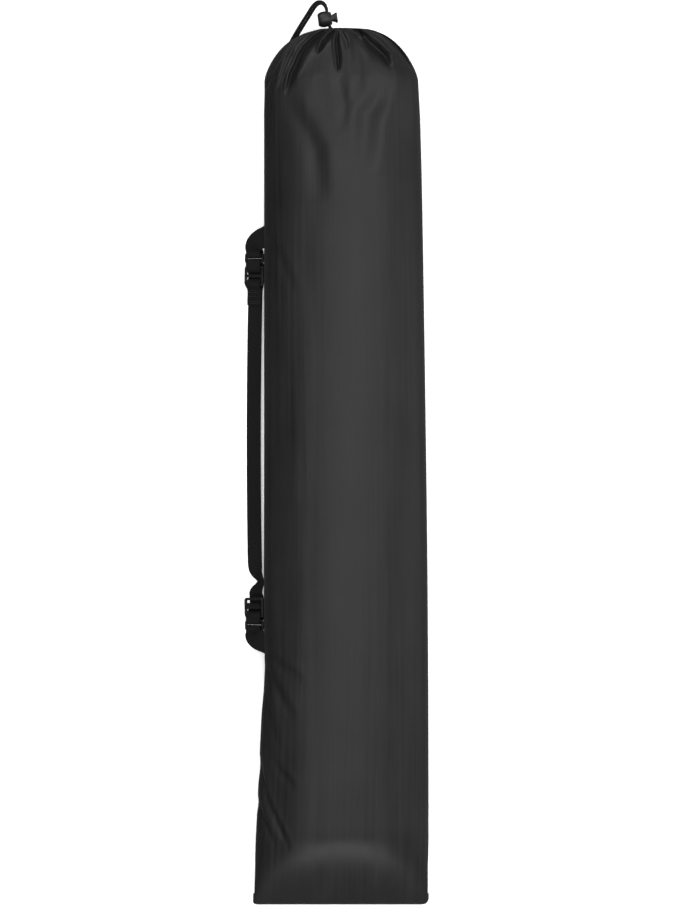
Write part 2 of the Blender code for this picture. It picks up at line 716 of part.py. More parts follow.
def make_tab(name, root_y, ring_y, direction):
    """Webbing looped round the ring's bar. It turns a quarter and is sewn in the side seam."""
    bar_y = ring_y + direction * (RING_LENGTH - END_BAR) / 2
    end = strap_point(bar_y + direction * 0.0035, 0)
    root = Vector((-LEFT_HALF_WIDTH - 0.0028, root_y, SEAM_HEIGHT))
    layer = WEBBING_THICKNESS / 2 + GAP
    forward = []
    back = []
    count = 8
    for k in range(count + 1):
        t = k / count
        ease = t * t * (3 - 2 * t)
        centre = root.lerp(end, t)
        centre.x = root.x + (end.x - root.x) * ease - 0.006 * math.sin(math.pi * t) * (1 - 0.45 * t)
        lean = ease * math.pi / 2
        wide = (Vector((0, 1, 0)) * math.cos(lean) - ACROSS * direction * math.sin(lean)).normalized()
        facing = Vector((0, 0, 1)).lerp(AWAY, ease)
        facing = (facing - wide * facing.dot(wide)).normalized()
        half_width = (TAB_WIDTH * (1 - ease) + WEBBING_WIDTH * ease) / 2
        spread = layer + (WRAP - layer) * max(0.0, 2 * t - 1) ** 2
        thick = facing * WEBBING_THICKNESS / 2
        forward.append((centre + facing * spread, wide * half_width, thick))
        back.append((centre - facing * spread, wide * half_width, -thick))
    bend = []
    wide = -ACROSS * direction * WEBBING_WIDTH / 2
    for k in range(7):
        angle = math.pi * k / 6
        radial = AWAY * math.cos(angle) + Vector((0, -direction, 0)) * math.sin(angle)
        bend.append((strap_point(bar_y, 0) + radial * WRAP, wide, radial * WEBBING_THICKNESS / 2))
    loft(name, [*forward, *bend, *back[::-1]], WEBBING)


# ---------------------------------------------------------------- build
clear_scene()
PARTS = make_collection("packed_weave_poles")
CUTTERS = make_collection("cutters")
NYLON = make_material("black_nylon", (0.022, 0.022, 0.023), 0.5)
WEBBING = make_material("black_webbing", (0.012, 0.012, 0.012), 0.8)
CORD = make_material("black_cord", (0.012, 0.012, 0.012), 0.75)
LOCK_PLASTIC = make_material("lock_plastic", (0.02, 0.02, 0.02), 0.45)
BUCKLE_PLASTIC = make_material("buckle_plastic", (0.02, 0.02, 0.02), 0.4)
PVC = make_material("white_pvc", (0.8, 0.8, 0.78), 0.4)
CAP_PLASTIC = make_material("cap_plastic", (0.04, 0.04, 0.04), 0.5)
STEEL = make_material("zinc_steel", (0.6, 0.6, 0.6), 0.35, 1.0)

make_panel("bag_front_panel", True, body_stations())
make_panel("bag_back_panel", False, body_stations())
make_panel("bag_front_gathers", True, top_stations(), gathered=True)
make_panel("bag_back_gathers", False, top_stations(), gathered=True)
make_bottom_binding()
make_casing()
make_inner_drawstring()
make_tails()
make_lock()
make_poles()
make_hardware()
make_webbing()
make_tab("upper_tab", UPPER_ROOT_Y, UPPER_RING_Y, 1)
make_tab("lower_tab", LOWER_ROOT_Y, LOWER_RING_Y, -1)
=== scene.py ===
# %% [markdown]
# # A packed bag of weave poles
#
# The bag is black coated nylon, gathered at its mouth by a drawstring and a cord lock, with a
# webbing strap down its left side. It lies on its back on a pale studio floor and is seen from
# straight above. The hard model comes first: it fixes every size, and the pieces made here are
# laid over it. Everything here is in metres, with X to the right, Y towards the mouth and Z up.

# %% Load the hard model
import json
import math

import bmesh
import bpy
import numpy as np
from mathutils import Matrix, Vector


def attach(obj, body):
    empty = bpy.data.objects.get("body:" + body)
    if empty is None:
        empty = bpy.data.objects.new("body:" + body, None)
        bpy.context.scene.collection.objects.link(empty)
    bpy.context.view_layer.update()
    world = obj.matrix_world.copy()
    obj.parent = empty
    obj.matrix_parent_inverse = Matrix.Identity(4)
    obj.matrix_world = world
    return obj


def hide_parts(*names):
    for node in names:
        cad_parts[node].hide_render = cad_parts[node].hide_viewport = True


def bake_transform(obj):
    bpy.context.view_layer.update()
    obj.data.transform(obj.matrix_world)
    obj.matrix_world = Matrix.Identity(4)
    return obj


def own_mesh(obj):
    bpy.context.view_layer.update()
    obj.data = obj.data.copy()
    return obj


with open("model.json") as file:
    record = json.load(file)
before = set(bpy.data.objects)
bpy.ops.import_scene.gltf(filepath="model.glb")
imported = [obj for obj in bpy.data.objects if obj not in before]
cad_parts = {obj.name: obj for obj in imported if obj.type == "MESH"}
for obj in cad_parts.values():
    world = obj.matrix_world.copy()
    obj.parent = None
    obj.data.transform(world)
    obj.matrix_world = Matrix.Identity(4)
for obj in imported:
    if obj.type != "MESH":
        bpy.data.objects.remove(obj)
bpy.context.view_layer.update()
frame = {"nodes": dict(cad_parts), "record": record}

scene = bpy.context.scene
nodes = frame["nodes"]
print("loaded", len(nodes), "nodes")

# %% [markdown]
# ## Camera, floor and light
#
# The camera looks straight down from 4 m through a long lens. A wide lens nearby would show the
# same field, but it would make the bag's sides lean apart. The floor is one large pale sheet. It
# could curve up behind as a backdrop does, but nothing is seen of it here except its middle.

# %% Camera
VIEW_HEIGHT = 1.0387  # from the top of the view to its bottom, at the bag's own height
VIEW_MIDDLE = (-0.0023, 0.0125)
BAG_MIDDLE = 0.040
CAMERA_DISTANCE = 4.0
SENSOR = 36.0  # millimetres, as is the lens
camera_data = bpy.data.cameras.new("overhead_camera")
camera_data.sensor_fit = "VERTICAL"
camera_data.sensor_height = SENSOR
camera_data.lens = SENSOR * CAMERA_DISTANCE / VIEW_HEIGHT
camera_data.clip_end = 40.0
camera = bpy.data.objects.new("overhead_camera", camera_data)
scene.collection.objects.link(camera)
camera.location = (*VIEW_MIDDLE, CAMERA_DISTANCE + BAG_MIDDLE)
scene.camera = camera
print("camera lens:", round(camera_data.lens, 1), "mm")

# %% Floor
FLOOR_SIZE = 12.0
floor_mesh = bpy.data.meshes.new("studio_floor")
floor_corners = [
    (x * FLOOR_SIZE / 2, y * FLOOR_SIZE / 2, 0) for x, y in ((-1, -1), (1, -1), (1, 1), (-1, 1))
]
floor_mesh.from_pydata(floor_corners, [], [(0, 1, 2, 3)])
floor = bpy.data.objects.new("studio_floor", floor_mesh)
scene.collection.objects.link(floor)
floor.visible_glossy = False  # its white would put a hard rim on the bag's sides
print("floor:", FLOOR_SIZE, "m across")

# %% [markdown]
# The light is one broad softbox overhead, which gives nylon its wide central sheen, with weaker
# ones at the sides, the head and the foot. A single lamp would be simpler, but black nylon shows
# little besides what it mirrors, so what matters is how large each light looks from the bag.


# %% Softboxes
def softbox(name, place, target, width, height, power):
    """A rectangular light in watts that faces its target and doesn't show to the camera."""
    light = bpy.data.lights.new(name, "AREA")
    light.shape = "RECTANGLE"
    light.size, light.size_y = width, height
    light.energy = power
    made = bpy.data.objects.new(name, light)
    scene.collection.objects.link(made)
    made.location = place
    made.rotation_euler = (Vector(target) - Vector(place)).to_track_quat("-Z", "Y").to_euler()
    made.visible_camera = False


SOFTBOXES = (
    ("overhead_softbox", (0.26, 0.30, 2.6), (0.0, 0.05, 0.0), 0.9, 2.6, 51.0),
    ("right_softbox", (2.3, 0.1, 1.1), (0.0, 0.0, 0.02), 0.8, 2.6, 18.0),
    ("head_softbox", (-0.9, 2.4, 1.8), (-0.02, 0.46, 0.04), 1.2, 0.8, 42.0),
    ("foot_softbox", (0.0, -2.6, 1.9), (0.0, -0.45, 0.03), 1.4, 1.0, 60.0),
    ("left_softbox", (-2.4, -0.4, 1.6), (0.0, 0.0, 0.0), 0.6, 2.0, 3.0),
)
for box in SOFTBOXES:
    softbox(*box)
print("softboxes:", len(SOFTBOXES))

# %% [markdown]
# The rest of the room is white to the camera. To the bag it is dim at the left and below, and
# brighter at the right and above, which lets the bag's left side fall into shade. Panels on
# stands would do the same, but a brightness that follows the direction needs no objects.

# %% Studio walls
world = bpy.data.worlds.new("studio_air")
world.use_nodes = True
air = world.node_tree
direction = air.nodes.new("ShaderNodeTexCoord")
parts = air.nodes.new("ShaderNodeSeparateXYZ")
air.links.new(direction.outputs["Generated"], parts.inputs[0])


def shaded(socket, low, high):
    """Turns a direction's share from -1 to 1 into a brightness from low to high."""
    node = air.nodes.new("ShaderNodeMapRange")
    node.inputs["From Min"].default_value = -1.0
    node.inputs["To Min"].default_value = low
    node.inputs["To Max"].default_value = high
    air.links.new(socket, node.inputs["Value"])
    return node.outputs["Result"]


walls = air.nodes.new("ShaderNodeMath")
walls.operation = "MULTIPLY"
air.links.new(shaded(parts.outputs["X"], 0.08, 0.90), walls.inputs[0])
air.links.new(shaded(parts.outputs["Z"], 0.25, 1.0), walls.inputs[1])
seen = air.nodes.new("ShaderNodeLightPath")
sky = air.nodes.new("ShaderNodeMix")
air.links.new(seen.outputs["Is Camera Ray"], sky.inputs["Factor"])
air.links.new(walls.outputs[0], sky.inputs["A"])
sky.inputs["B"].default_value = 1.0
air.links.new(sky.outputs["Result"], air.nodes["Background"].inputs["Strength"])
air.nodes["Background"].inputs["Color"].default_value = (1.0, 1.0, 1.0, 1.0)
scene.world = world
scene.view_settings.view_transform = "Standard"
print("studio walls:", len(air.nodes), "nodes")


# %% [markdown]
# ## Finishes
#
# Four effects come back in several finishes, so each is a node group: a plain weave for the
# nylon, ribs with painted shade in their grooves for webbing and cord, a moulded grain for
# plastic, and a faint dust that lightens what faces up. Each reads either the cloth's own
# measured coordinates or the object's.

# %% Node tools
def new_group(name, inputs, outputs):
    """An empty shader node group. Inputs are (name, kind, default) and outputs (name, kind)."""
    tree = bpy.data.node_groups.new(name, "ShaderNodeTree")
    for label, kind, default in inputs:
        socket = tree.interface.new_socket(label, in_out="INPUT", socket_type=kind)
        if default is not None:
            socket.default_value = default
    for label, kind in outputs:
        tree.interface.new_socket(label, in_out="OUTPUT", socket_type=kind)
    start = tree.nodes.new("NodeGroupInput")
    end = tree.nodes.new("NodeGroupOutput")
    return tree, start, end


def math_node(tree, operation, a, b=None, c=None):
    """A Math node. Each argument is a number or an output socket."""
    node = tree.nodes.new("ShaderNodeMath")
    node.operation = operation
    for socket, value in zip(node.inputs, (a, b, c)):
        if isinstance(value, (int, float)):
            socket.default_value = value
        elif value is not None:
            tree.links.new(value, socket)
    return node.outputs[0]


def noise_node(tree, vector, scale, detail=3.0, roughness=0.55):
    """A Noise Texture's value."""
    node = tree.nodes.new("ShaderNodeTexNoise")
    node.inputs["Scale"].default_value = scale
    node.inputs["Detail"].default_value = detail
    node.inputs["Roughness"].default_value = roughness
    tree.links.new(vector, node.inputs["Vector"])
    return node.outputs["Fac"]


def stretched(tree, vector, factors):
    """The vector with each of its parts multiplied by its own factor."""
    node = tree.nodes.new("ShaderNodeVectorMath")
    node.operation = "MULTIPLY"
    tree.links.new(vector, node.inputs[0])
    node.inputs[1].default_value = factors
    return node.outputs[0]


# %% Weave group
def build_weave():
    """Plain weave: warp and weft threads that pass over each other in turn."""
    tree, start, end = new_group(
        "plain_weave",
        [("Place", "NodeSocketVector", None), ("Threads per metre", "NodeSocketFloat", 2200.0)],
        [("Height", "NodeSocketFloat"), ("Streaks", "NodeSocketFloat")],
    )
    place = start.outputs["Place"]
    split = tree.nodes.new("ShaderNodeSeparateXYZ")
    tree.links.new(place, split.inputs[0])
    turns = math_node(tree, "MULTIPLY", start.outputs["Threads per metre"], math.pi)
    across = math_node(tree, "SINE", math_node(tree, "MULTIPLY", split.outputs["X"], turns))
    along = math_node(tree, "SINE", math_node(tree, "MULTIPLY", split.outputs["Y"], turns))
    crossing = math_node(tree, "MULTIPLY", across, along)
    height = math_node(tree, "MULTIPLY_ADD", crossing, 0.5, 0.5)
    slub = noise_node(tree, stretched(tree, place, (900.0, 14.0, 1.0)), 1.0, 2.0)
    tree.links.new(math_node(tree, "MULTIPLY", height, slub), end.inputs["Height"])
    streaks = noise_node(tree, stretched(tree, place, (260.0, 4.5, 1.0)), 1.0, 4.0)
    wide = noise_node(tree, stretched(tree, place, (45.0, 9.0, 1.0)), 1.0, 3.0)
    both = math_node(tree, "ADD", math_node(tree, "MULTIPLY", streaks, 1.6), wide)
    spread = math_node(tree, "MULTIPLY_ADD", both, 1.1, -0.93)
    above_zero = math_node(tree, "MAXIMUM", spread, 0.0)
    tree.links.new(math_node(tree, "MINIMUM", above_zero, 1.0), end.inputs["Streaks"])
    return tree


WEAVE = build_weave()
print("weave group:", len(WEAVE.nodes), "nodes")


# %% Rib group
def build_ribs():
    """Cross ribs with a herringbone lean, as in webbing and braided cord."""
    tree, start, end = new_group(
        "ribbed_threads",
        [
            ("Place", "NodeSocketVector", None),
            ("Ribs per metre", "NodeSocketFloat", 900.0),
            ("Lean", "NodeSocketFloat", 0.6),
            ("Columns per metre", "NodeSocketFloat", 500.0),
        ],
        [("Height", "NodeSocketFloat"), ("Painted groove shade", "NodeSocketFloat")],
    )
    split = tree.nodes.new("ShaderNodeSeparateXYZ")
    tree.links.new(start.outputs["Place"], split.inputs[0])
    columns = math_node(tree, "MULTIPLY", split.outputs["X"], start.outputs["Columns per metre"])
    zigzag = math_node(tree, "PINGPONG", columns, 1.0)
    ribs = math_node(tree, "MULTIPLY", split.outputs["Y"], start.outputs["Ribs per metre"])
    leaning = math_node(tree, "MULTIPLY_ADD", zigzag, start.outputs["Lean"], ribs)
    wave = math_node(tree, "SINE", math_node(tree, "MULTIPLY", leaning, math.tau))
    gutter = math_node(tree, "SINE", math_node(tree, "MULTIPLY", columns, math.pi))
    gutter = math_node(tree, "POWER", math_node(tree, "ABSOLUTE", gutter), 0.4)
    height = math_node(tree, "MULTIPLY_ADD", wave, 0.35, 0.5)
    height = math_node(tree, "MULTIPLY", height, gutter)
    fine = stretched(tree, start.outputs["Place"], (1500.0, 1500.0, 1.0))
    fuzz = noise_node(tree, fine, 1.0, 2.0)
    tree.links.new(math_node(tree, "MULTIPLY_ADD", fuzz, 0.25, height), end.inputs["Height"])
    # Painted shade: darker in the rib grooves and in the gutters between columns, lighter on the
    # crowns, with some random fuzz in tone.
    shade = math_node(tree, "MULTIPLY_ADD", height, 0.7, math_node(tree, "MULTIPLY", fuzz, 0.5))
    tree.links.new(shade, end.inputs["Painted groove shade"])
    return tree


RIBS = build_ribs()
print("rib group:", len(RIBS.nodes), "nodes")


# %% Grain and dust groups
def build_grain():
    """Fine moulded grain, with softer patches where handling has polished it."""
    tree, start, end = new_group(
        "moulded_grain",
        [("Place", "NodeSocketVector", None), ("Fineness", "NodeSocketFloat", 2600.0)],
        [("Height", "NodeSocketFloat"), ("Polish", "NodeSocketFloat")],
    )
    scaled = tree.nodes.new("ShaderNodeVectorMath")
    scaled.operation = "SCALE"
    tree.links.new(start.outputs["Place"], scaled.inputs[0])
    tree.links.new(start.outputs["Fineness"], scaled.inputs["Scale"])
    tree.links.new(noise_node(tree, scaled.outputs[0], 1.0, 3.0), end.inputs["Height"])
    tree.links.new(noise_node(tree, start.outputs["Place"], 160.0, 3.0), end.inputs["Polish"])
    return tree


def build_dust():
    """Faint dust: more of it on what faces up, in soft patches."""
    tree, start, end = new_group(
        "settled_dust",
        [("Place", "NodeSocketVector", None), ("Patch size", "NodeSocketFloat", 14.0)],
        [("Mask", "NodeSocketFloat")],
    )
    geometry = tree.nodes.new("ShaderNodeNewGeometry")
    split = tree.nodes.new("ShaderNodeSeparateXYZ")
    tree.links.new(geometry.outputs["Normal"], split.inputs[0])
    facing = math_node(tree, "MAXIMUM", split.outputs["Z"], 0.0)
    patches = tree.nodes.new("ShaderNodeTexNoise")
    tree.links.new(start.outputs["Place"], patches.inputs["Vector"])
    tree.links.new(start.outputs["Patch size"], patches.inputs["Scale"])
    tree.links.new(math_node(tree, "MULTIPLY", facing, patches.outputs["Fac"]), end.inputs["Mask"])
    return tree


GRAIN, DUST = build_grain(), build_dust()
print("grain and dust groups:", len(GRAIN.nodes), "and", len(DUST.nodes), "nodes")


# %% [markdown]
# A finish is a Principled shader fed by those groups. The pattern's mask and the dust mix the
# colour between a dark and a lighter value, the mask alone spreads the roughness, and the
# pattern's height goes through a Bump node. For webbing and cord the mask is painted shade,
# darker in the rib grooves. One builder makes them all, because the finishes differ only in
# their numbers.


# %% Material builder
def finish_material(
    name, dark, light, rough, bump, group, values, cloth=False, metallic=0.0, gloss=0.5
):
    """A finish from one pattern group plus dust.

    Dark and light are the colour's two ends, rough is the roughness where the mask is 0 and 1,
    and bump is the Bump node's strength and distance. Cloth reads the 'cloth' map, in metres.
    """
    material = bpy.data.materials.new(name)
    material.use_nodes = True
    tree = material.node_tree
    shader = tree.nodes["Principled BSDF"]
    shader.inputs["Metallic"].default_value = metallic
    shader.inputs["Specular IOR Level"].default_value = gloss
    if cloth:
        source = tree.nodes.new("ShaderNodeUVMap")
        source.uv_map = "cloth"
        place = source.outputs["UV"]
    else:
        source = tree.nodes.new("ShaderNodeTexCoord")
        place = source.outputs["Object"]
    solid = tree.nodes.new("ShaderNodeTexCoord").outputs["Object"]
    pattern = tree.nodes.new("ShaderNodeGroup")
    pattern.node_tree = group
    tree.links.new(place, pattern.inputs["Place"])
    for label, value in values.items():
        pattern.inputs[label].default_value = value
    dust = tree.nodes.new("ShaderNodeGroup")
    dust.node_tree = DUST
    tree.links.new(solid, dust.inputs["Place"])
    # For the rib group this mask is painted shade, darker in the grooves. For the weave and the
    # grain it is the cloth's streaks and the plastic's polish.
    mask = pattern.outputs[1]
    patterned = math_node(tree, "MULTIPLY", mask, 0.7)
    shade = math_node(tree, "MULTIPLY_ADD", dust.outputs["Mask"], 0.45, patterned)
    mix = tree.nodes.new("ShaderNodeMix")
    mix.data_type = "RGBA"
    tree.links.new(shade, mix.inputs["Factor"])
    mix.inputs["A"].default_value = (*dark, 1.0)
    mix.inputs["B"].default_value = (*light, 1.0)
    tree.links.new(mix.outputs["Result"], shader.inputs["Base Color"])
    spread = math_node(tree, "MULTIPLY_ADD", mask, rough[1] - rough[0], rough[0])
    tree.links.new(spread, shader.inputs["Roughness"])
    lift = tree.nodes.new("ShaderNodeBump")
    lift.inputs["Strength"].default_value = bump[0]
    lift.inputs["Distance"].default_value = bump[1]
    tree.links.new(pattern.outputs["Height"], lift.inputs["Height"])
    tree.links.new(lift.outputs["Normal"], shader.inputs["Normal"])
    return material


# %% [markdown]
# The bag is coated nylon, dark and a little shiny, with a faint sheen. Webbing, cord and thread
# are matt, and their ribs matter more than their colour. One flat black would make them all look
# alike, so each has its own pattern, gloss and roughness.

# %% Cloth, webbing and cord
nylon = finish_material(
    "black_nylon_weave", (0.0035, 0.0035, 0.0037), (0.0125, 0.0125, 0.0128), (0.40, 0.52),
    (0.25, 0.00012), WEAVE, {"Threads per metre": 2200.0}, cloth=True, gloss=0.16,
)
nylon_shader = nylon.node_tree.nodes["Principled BSDF"]
nylon_shader.inputs["Sheen Weight"].default_value = 0.02
nylon_shader.inputs["Sheen Roughness"].default_value = 0.4
# Webbing and cord carry the ribs' painted shade: their colour is darker in the rib grooves and
# lighter on the crowns.
webbing = finish_material(
    "black_webbing_ribs", (0.0015, 0.0015, 0.0015), (0.0080, 0.0080, 0.0080), (0.70, 0.90),
    (0.8, 0.0003), RIBS, {"Ribs per metre": 760.0, "Columns per metre": 420.0, "Lean": 0.7},
    cloth=True, gloss=0.12,
)
braid = finish_material(
    "black_cord_braid", (0.0015, 0.0015, 0.0015), (0.0110, 0.0110, 0.0110), (0.60, 0.85),
    (0.9, 0.0003), RIBS, {"Ribs per metre": 620.0, "Columns per metre": 560.0, "Lean": 1.0},
    cloth=True, gloss=0.14,
)
thread = finish_material(
    "black_stitching", (0.004, 0.004, 0.004), (0.022, 0.022, 0.022), (0.45, 0.7),
    (0.5, 0.0001), GRAIN, {"Fineness": 5000.0}, gloss=0.2,
)
print("soft finishes:", [made.name for made in (nylon, webbing, braid, thread)])

# %% [markdown]
# The lock and the buckles are moulded plastic, and the poles are white tubes with a dark cap and
# a zinc-plated spike. The floor is matt paper that glows a little, so that it shows as white
# without more light on the bag.

# %% Plastic, steel and floor
lock_plastic = finish_material(
    "cord_lock_plastic", (0.0045, 0.0045, 0.0045), (0.0150, 0.0150, 0.0150), (0.38, 0.55),
    (0.25, 0.00008), GRAIN, {"Fineness": 2400.0}, gloss=0.3,
)
buckle_plastic = finish_material(
    "buckle_plastic", (0.0030, 0.0030, 0.0030), (0.0100, 0.0100, 0.0100), (0.30, 0.46),
    (0.2, 0.00006), GRAIN, {"Fineness": 2800.0}, gloss=0.3,
)
white_pvc = finish_material(
    "white_pvc_tube", (0.62, 0.62, 0.60), (0.80, 0.80, 0.78), (0.32, 0.50),
    (0.1, 0.00005), GRAIN, {"Fineness": 900.0},
)
cap_plastic = finish_material(
    "pole_cap_plastic", (0.020, 0.020, 0.020), (0.050, 0.050, 0.050), (0.45, 0.65),
    (0.3, 0.00008), GRAIN, {"Fineness": 2000.0},
)
spike_steel = finish_material(
    "zinc_plated_steel", (0.40, 0.41, 0.42), (0.66, 0.66, 0.65), (0.25, 0.50),
    (0.15, 0.00005), GRAIN, {"Fineness": 1400.0}, metallic=1.0,
)
floor_paint = finish_material(
    "studio_floor_paper", (0.84, 0.84, 0.84), (0.90, 0.90, 0.90), (0.75, 0.95),
    (0.05, 0.0002), GRAIN, {"Fineness": 300.0},
)
glow = floor_paint.node_tree.nodes["Principled BSDF"]
glow.inputs["Emission Color"].default_value = (1.0, 1.0, 1.0, 1.0)
glow.inputs["Emission Strength"].default_value = 0.35
floor_mesh.materials.append(floor_paint)
print("hard finishes:", [m.name for m in (lock_plastic, buckle_plastic, white_pvc, cap_plastic)])

# %% [markdown]
# The poles inside the bag keep their hard-model shapes, which are already right. Every node gets
# the finish of its material slot, so that no plain surface is left when the bag is taken apart.

# %% Finishes of the hard model
SLOT_FINISHES = {
    "black_nylon": nylon, "black_webbing": webbing, "black_cord": braid,
    "lock_plastic": lock_plastic, "buckle_plastic": buckle_plastic, "white_pvc": white_pvc,
    "cap_plastic": cap_plastic, "zinc_steel": spike_steel,
}
for entry in frame["record"]["subparts"]:
    mesh = nodes[entry["node"]].data
    mesh.materials.clear()
    mesh.materials.append(SLOT_FINISHES[entry["material_slot"]])


# %% [markdown]
# ## Building cloth from rows of points
#
# Fabric, webbing and cord are all strips of points: each row goes across or around, and the rows
# follow one another along the piece. A curve with a bevel would also give a tube, but it knows
# nothing of real lengths. This helper stores how far each point is around and along in metres,
# so that a weave keeps its thread size everywhere.


# %% Grid helper
def grid_piece(name, rows, material, capped=False):
    """A mesh from closed rows of points, with a 'cloth' map in metres."""
    rows = np.asarray(rows, float)
    count, around = rows.shape[:2]
    mesh = bpy.data.meshes.new(name)
    faces = []
    for j in range(count - 1):
        here, there = j * around, (j + 1) * around
        for i in range(around):
            k = (i + 1) % around
            faces.append((here + i, here + k, there + k, there + i))
    if capped:
        faces.append(tuple(range(around))[::-1])
        faces.append(tuple((count - 1) * around + i for i in range(around)))
    mesh.from_pydata(rows.reshape(-1, 3).tolist(), [], faces)
    steps = np.linalg.norm(np.diff(rows, axis=0), axis=2).mean(axis=1)
    along = np.concatenate([[0.0], np.cumsum(steps)])
    wide = rows[count // 2]
    gaps = np.linalg.norm(np.roll(wide, -1, axis=0) - wide, axis=1)
    across = np.concatenate([[0.0], np.cumsum(gaps)])
    layer = mesh.uv_layers.new(name="cloth")
    corners = np.zeros((len(mesh.loops), 2))
    at = 0
    for polygon in mesh.polygons:
        places = list(polygon.vertices)
        ring = [v % around for v in places]
        for v, i in zip(places, ring):
            at_seam = i == 0 and (around - 1) in ring
            corners[at] = (across[around] if at_seam else across[i], along[v // around])
            at += 1
    layer.data.foreach_set("uv", corners.reshape(-1))
    mesh.shade_smooth()
    mesh.materials.append(material)
    made = bpy.data.objects.new(name, mesh)
    scene.collection.objects.link(made)
    return made


def apply_modifiers(piece):
    """Turns a piece's modifiers into plain mesh, so that nothing is left to evaluate."""
    graph = bpy.context.evaluated_depsgraph_get()
    mesh = bpy.data.meshes.new_from_object(piece.evaluated_get(graph))
    piece.modifiers.clear()
    old = piece.data
    piece.data = mesh
    mesh.name = old.name


# %% Smooth lines
def travelled(points):
    """How far along a line each of its points is."""
    return np.concatenate([[0], np.cumsum(np.linalg.norm(np.diff(points, axis=0), axis=1))])


def smooth_line(route, spacing):
    """Points at even spacing on a Catmull-Rom curve through the route."""
    route = np.asarray(route, float)
    ends = np.vstack([2 * route[0] - route[1], route, 2 * route[-1] - route[-2]])
    fine = []
    for a, b, c, d in zip(ends, ends[1:], ends[2:], ends[3:]):
        for t in np.linspace(0, 1, 24, endpoint=False):
            square = (2 * a - 5 * b + 4 * c - d) * t**2
            cube = (3 * b - a - 3 * c + d) * t**3
            fine.append(0.5 * (2 * b + (c - a) * t + square + cube))
    fine.append(route[-1])
    fine = np.array(fine)
    length = travelled(fine)
    count = max(3, int(round(length[-1] / spacing)) + 1)
    wanted = np.linspace(0, length[-1], count)
    return np.stack([np.interp(wanted, length, fine[:, k]) for k in range(fine.shape[1])], axis=1)


# %% [markdown]
# ## The bag's outline
#
# The bag is a long sack over a pile of tubes. Each cross-section is a flattened round whose sides
# meet at two seams, the bottom end flattens to a sewn edge, and the shoulder closes to the
# gathered mouth. A draped cube could sag into such a sack, but it would drift from its sizes, so
# the outline is written as formulas. The sizes are the hard model's, except that the bottom
# slopes over a longer stretch, inside it.

# %% Outline
MOUTH = np.array([0.0020, 0.4915, 0.0400])
BOTTOM = -0.5
DOME_START, DOME_LENGTH = 0.440, 0.060
WEDGE_START, WEDGE_LENGTH = -0.415, 0.085
SEAM_HEIGHT, BAG_HEIGHT = 0.034, 0.0765
LEFT_EDGE, RIGHT_EDGE = -0.0885, 0.1000
FLARE_START, FLARE_LENGTH, FLARE = -0.215, 0.285, 0.0132  # the left side widens to the bottom
TAPER = 0.0114  # the right side narrows to the shoulder
LEFT_CORNER, RIGHT_CORNER = 0.0045, 0.0080
CROWN_INSET = 0.0012
FLOOR_GAP = 0.0006
UPPER_POWER, LOWER_POWER, SHOULDER_POWER, EDGE_POWER = 2.1, 2.8, 0.8, 6.0


def corner_cut(y, radius):
    """How far a rounded bottom corner has pulled the edge in at this height."""
    rise = min(radius, max(0.0, y - BOTTOM))
    return radius - math.sqrt(max(0.0, radius**2 - (radius - rise) ** 2))


def side_edges(y):
    """X of the left and the right side."""
    flare = FLARE * (max(0.0, FLARE_START - y) / FLARE_LENGTH) ** 1.1
    taper = TAPER * (max(0.0, y - BOTTOM) / (DOME_START - BOTTOM)) ** 2.2
    left = LEFT_EDGE - flare + corner_cut(y, LEFT_CORNER)
    return left, RIGHT_EDGE - taper - corner_cut(y, RIGHT_CORNER)


def dome_factor(y):
    """The section's size, from 1 below the shoulder to 0 at the crown."""
    share = min(1.0, max(0.0, (y - DOME_START) / DOME_LENGTH))
    return (1 - share**1.45) ** (1 / 2.3)


def wedge_share(y):
    """How far the bottom end has flattened, from 0 to 1 at the sewn edge."""
    return min(1.0, max(0.0, (WEDGE_START - y) / WEDGE_LENGTH))


# %% Cross-section
def signed_power(value, power):
    return math.copysign(abs(value) ** power, value)


def bag_point(y, angle):
    """A point of the fabric before its folds. The angle runs from the right seam over the top."""
    left, right = side_edges(y)
    factor, wedge = dome_factor(y), wedge_share(y)
    fullness = 1 - wedge**1.9
    seam = SEAM_HEIGHT - (SEAM_HEIGHT - 0.010) * wedge**1.2
    shoulder = math.exp(-(((y - 0.437) / 0.034) ** 2))  # the cloth is fullest at the shoulder
    over = math.sin(angle) >= 0
    plain_power = UPPER_POWER if over else LOWER_POWER
    power = plain_power + (SHOULDER_POWER * shoulder if over else 0.0)
    power += (EDGE_POWER - power) * wedge**2
    # Keeps each column of the weave straight while the section's shape changes.
    c = signed_power(math.cos(angle), power / plain_power)
    s = math.copysign(math.sqrt(max(0.0, 1 - c * c)), math.sin(angle))
    full_rise = BAG_HEIGHT - SEAM_HEIGHT if s >= 0 else SEAM_HEIGHT + 0.006
    rise = full_rise * fullness + 0.0011 * (1 - fullness) - CROWN_INSET * fullness
    x = (left + right) / 2 + ((right - left) / 2 - CROWN_INSET) * signed_power(c, 2 / power)
    z = max(FLOOR_GAP, seam + rise * signed_power(s, 2 / power))
    x = x * factor + (MOUTH[0] + c * 0.015) * (1 - factor)
    z = z * factor + (MOUTH[2] + s * 0.015) * (1 - factor)
    return x, y - CROWN_INSET * (1 - factor), z


print("bag height at its middle:", round(bag_point(0.0, math.pi / 2)[2], 4), "m")


# %% Rows and columns
TOP_COLUMNS, UNDER_COLUMNS = 112, 40


def even_angles(low, high, count):
    """Angles whose points are evenly spaced round the bag's middle section."""
    fine = np.linspace(low, high, 400)
    length = travelled(np.array([bag_point(0.0, a) for a in fine]))
    return np.interp(np.linspace(0, length[-1], count + 1)[:-1], length, fine)


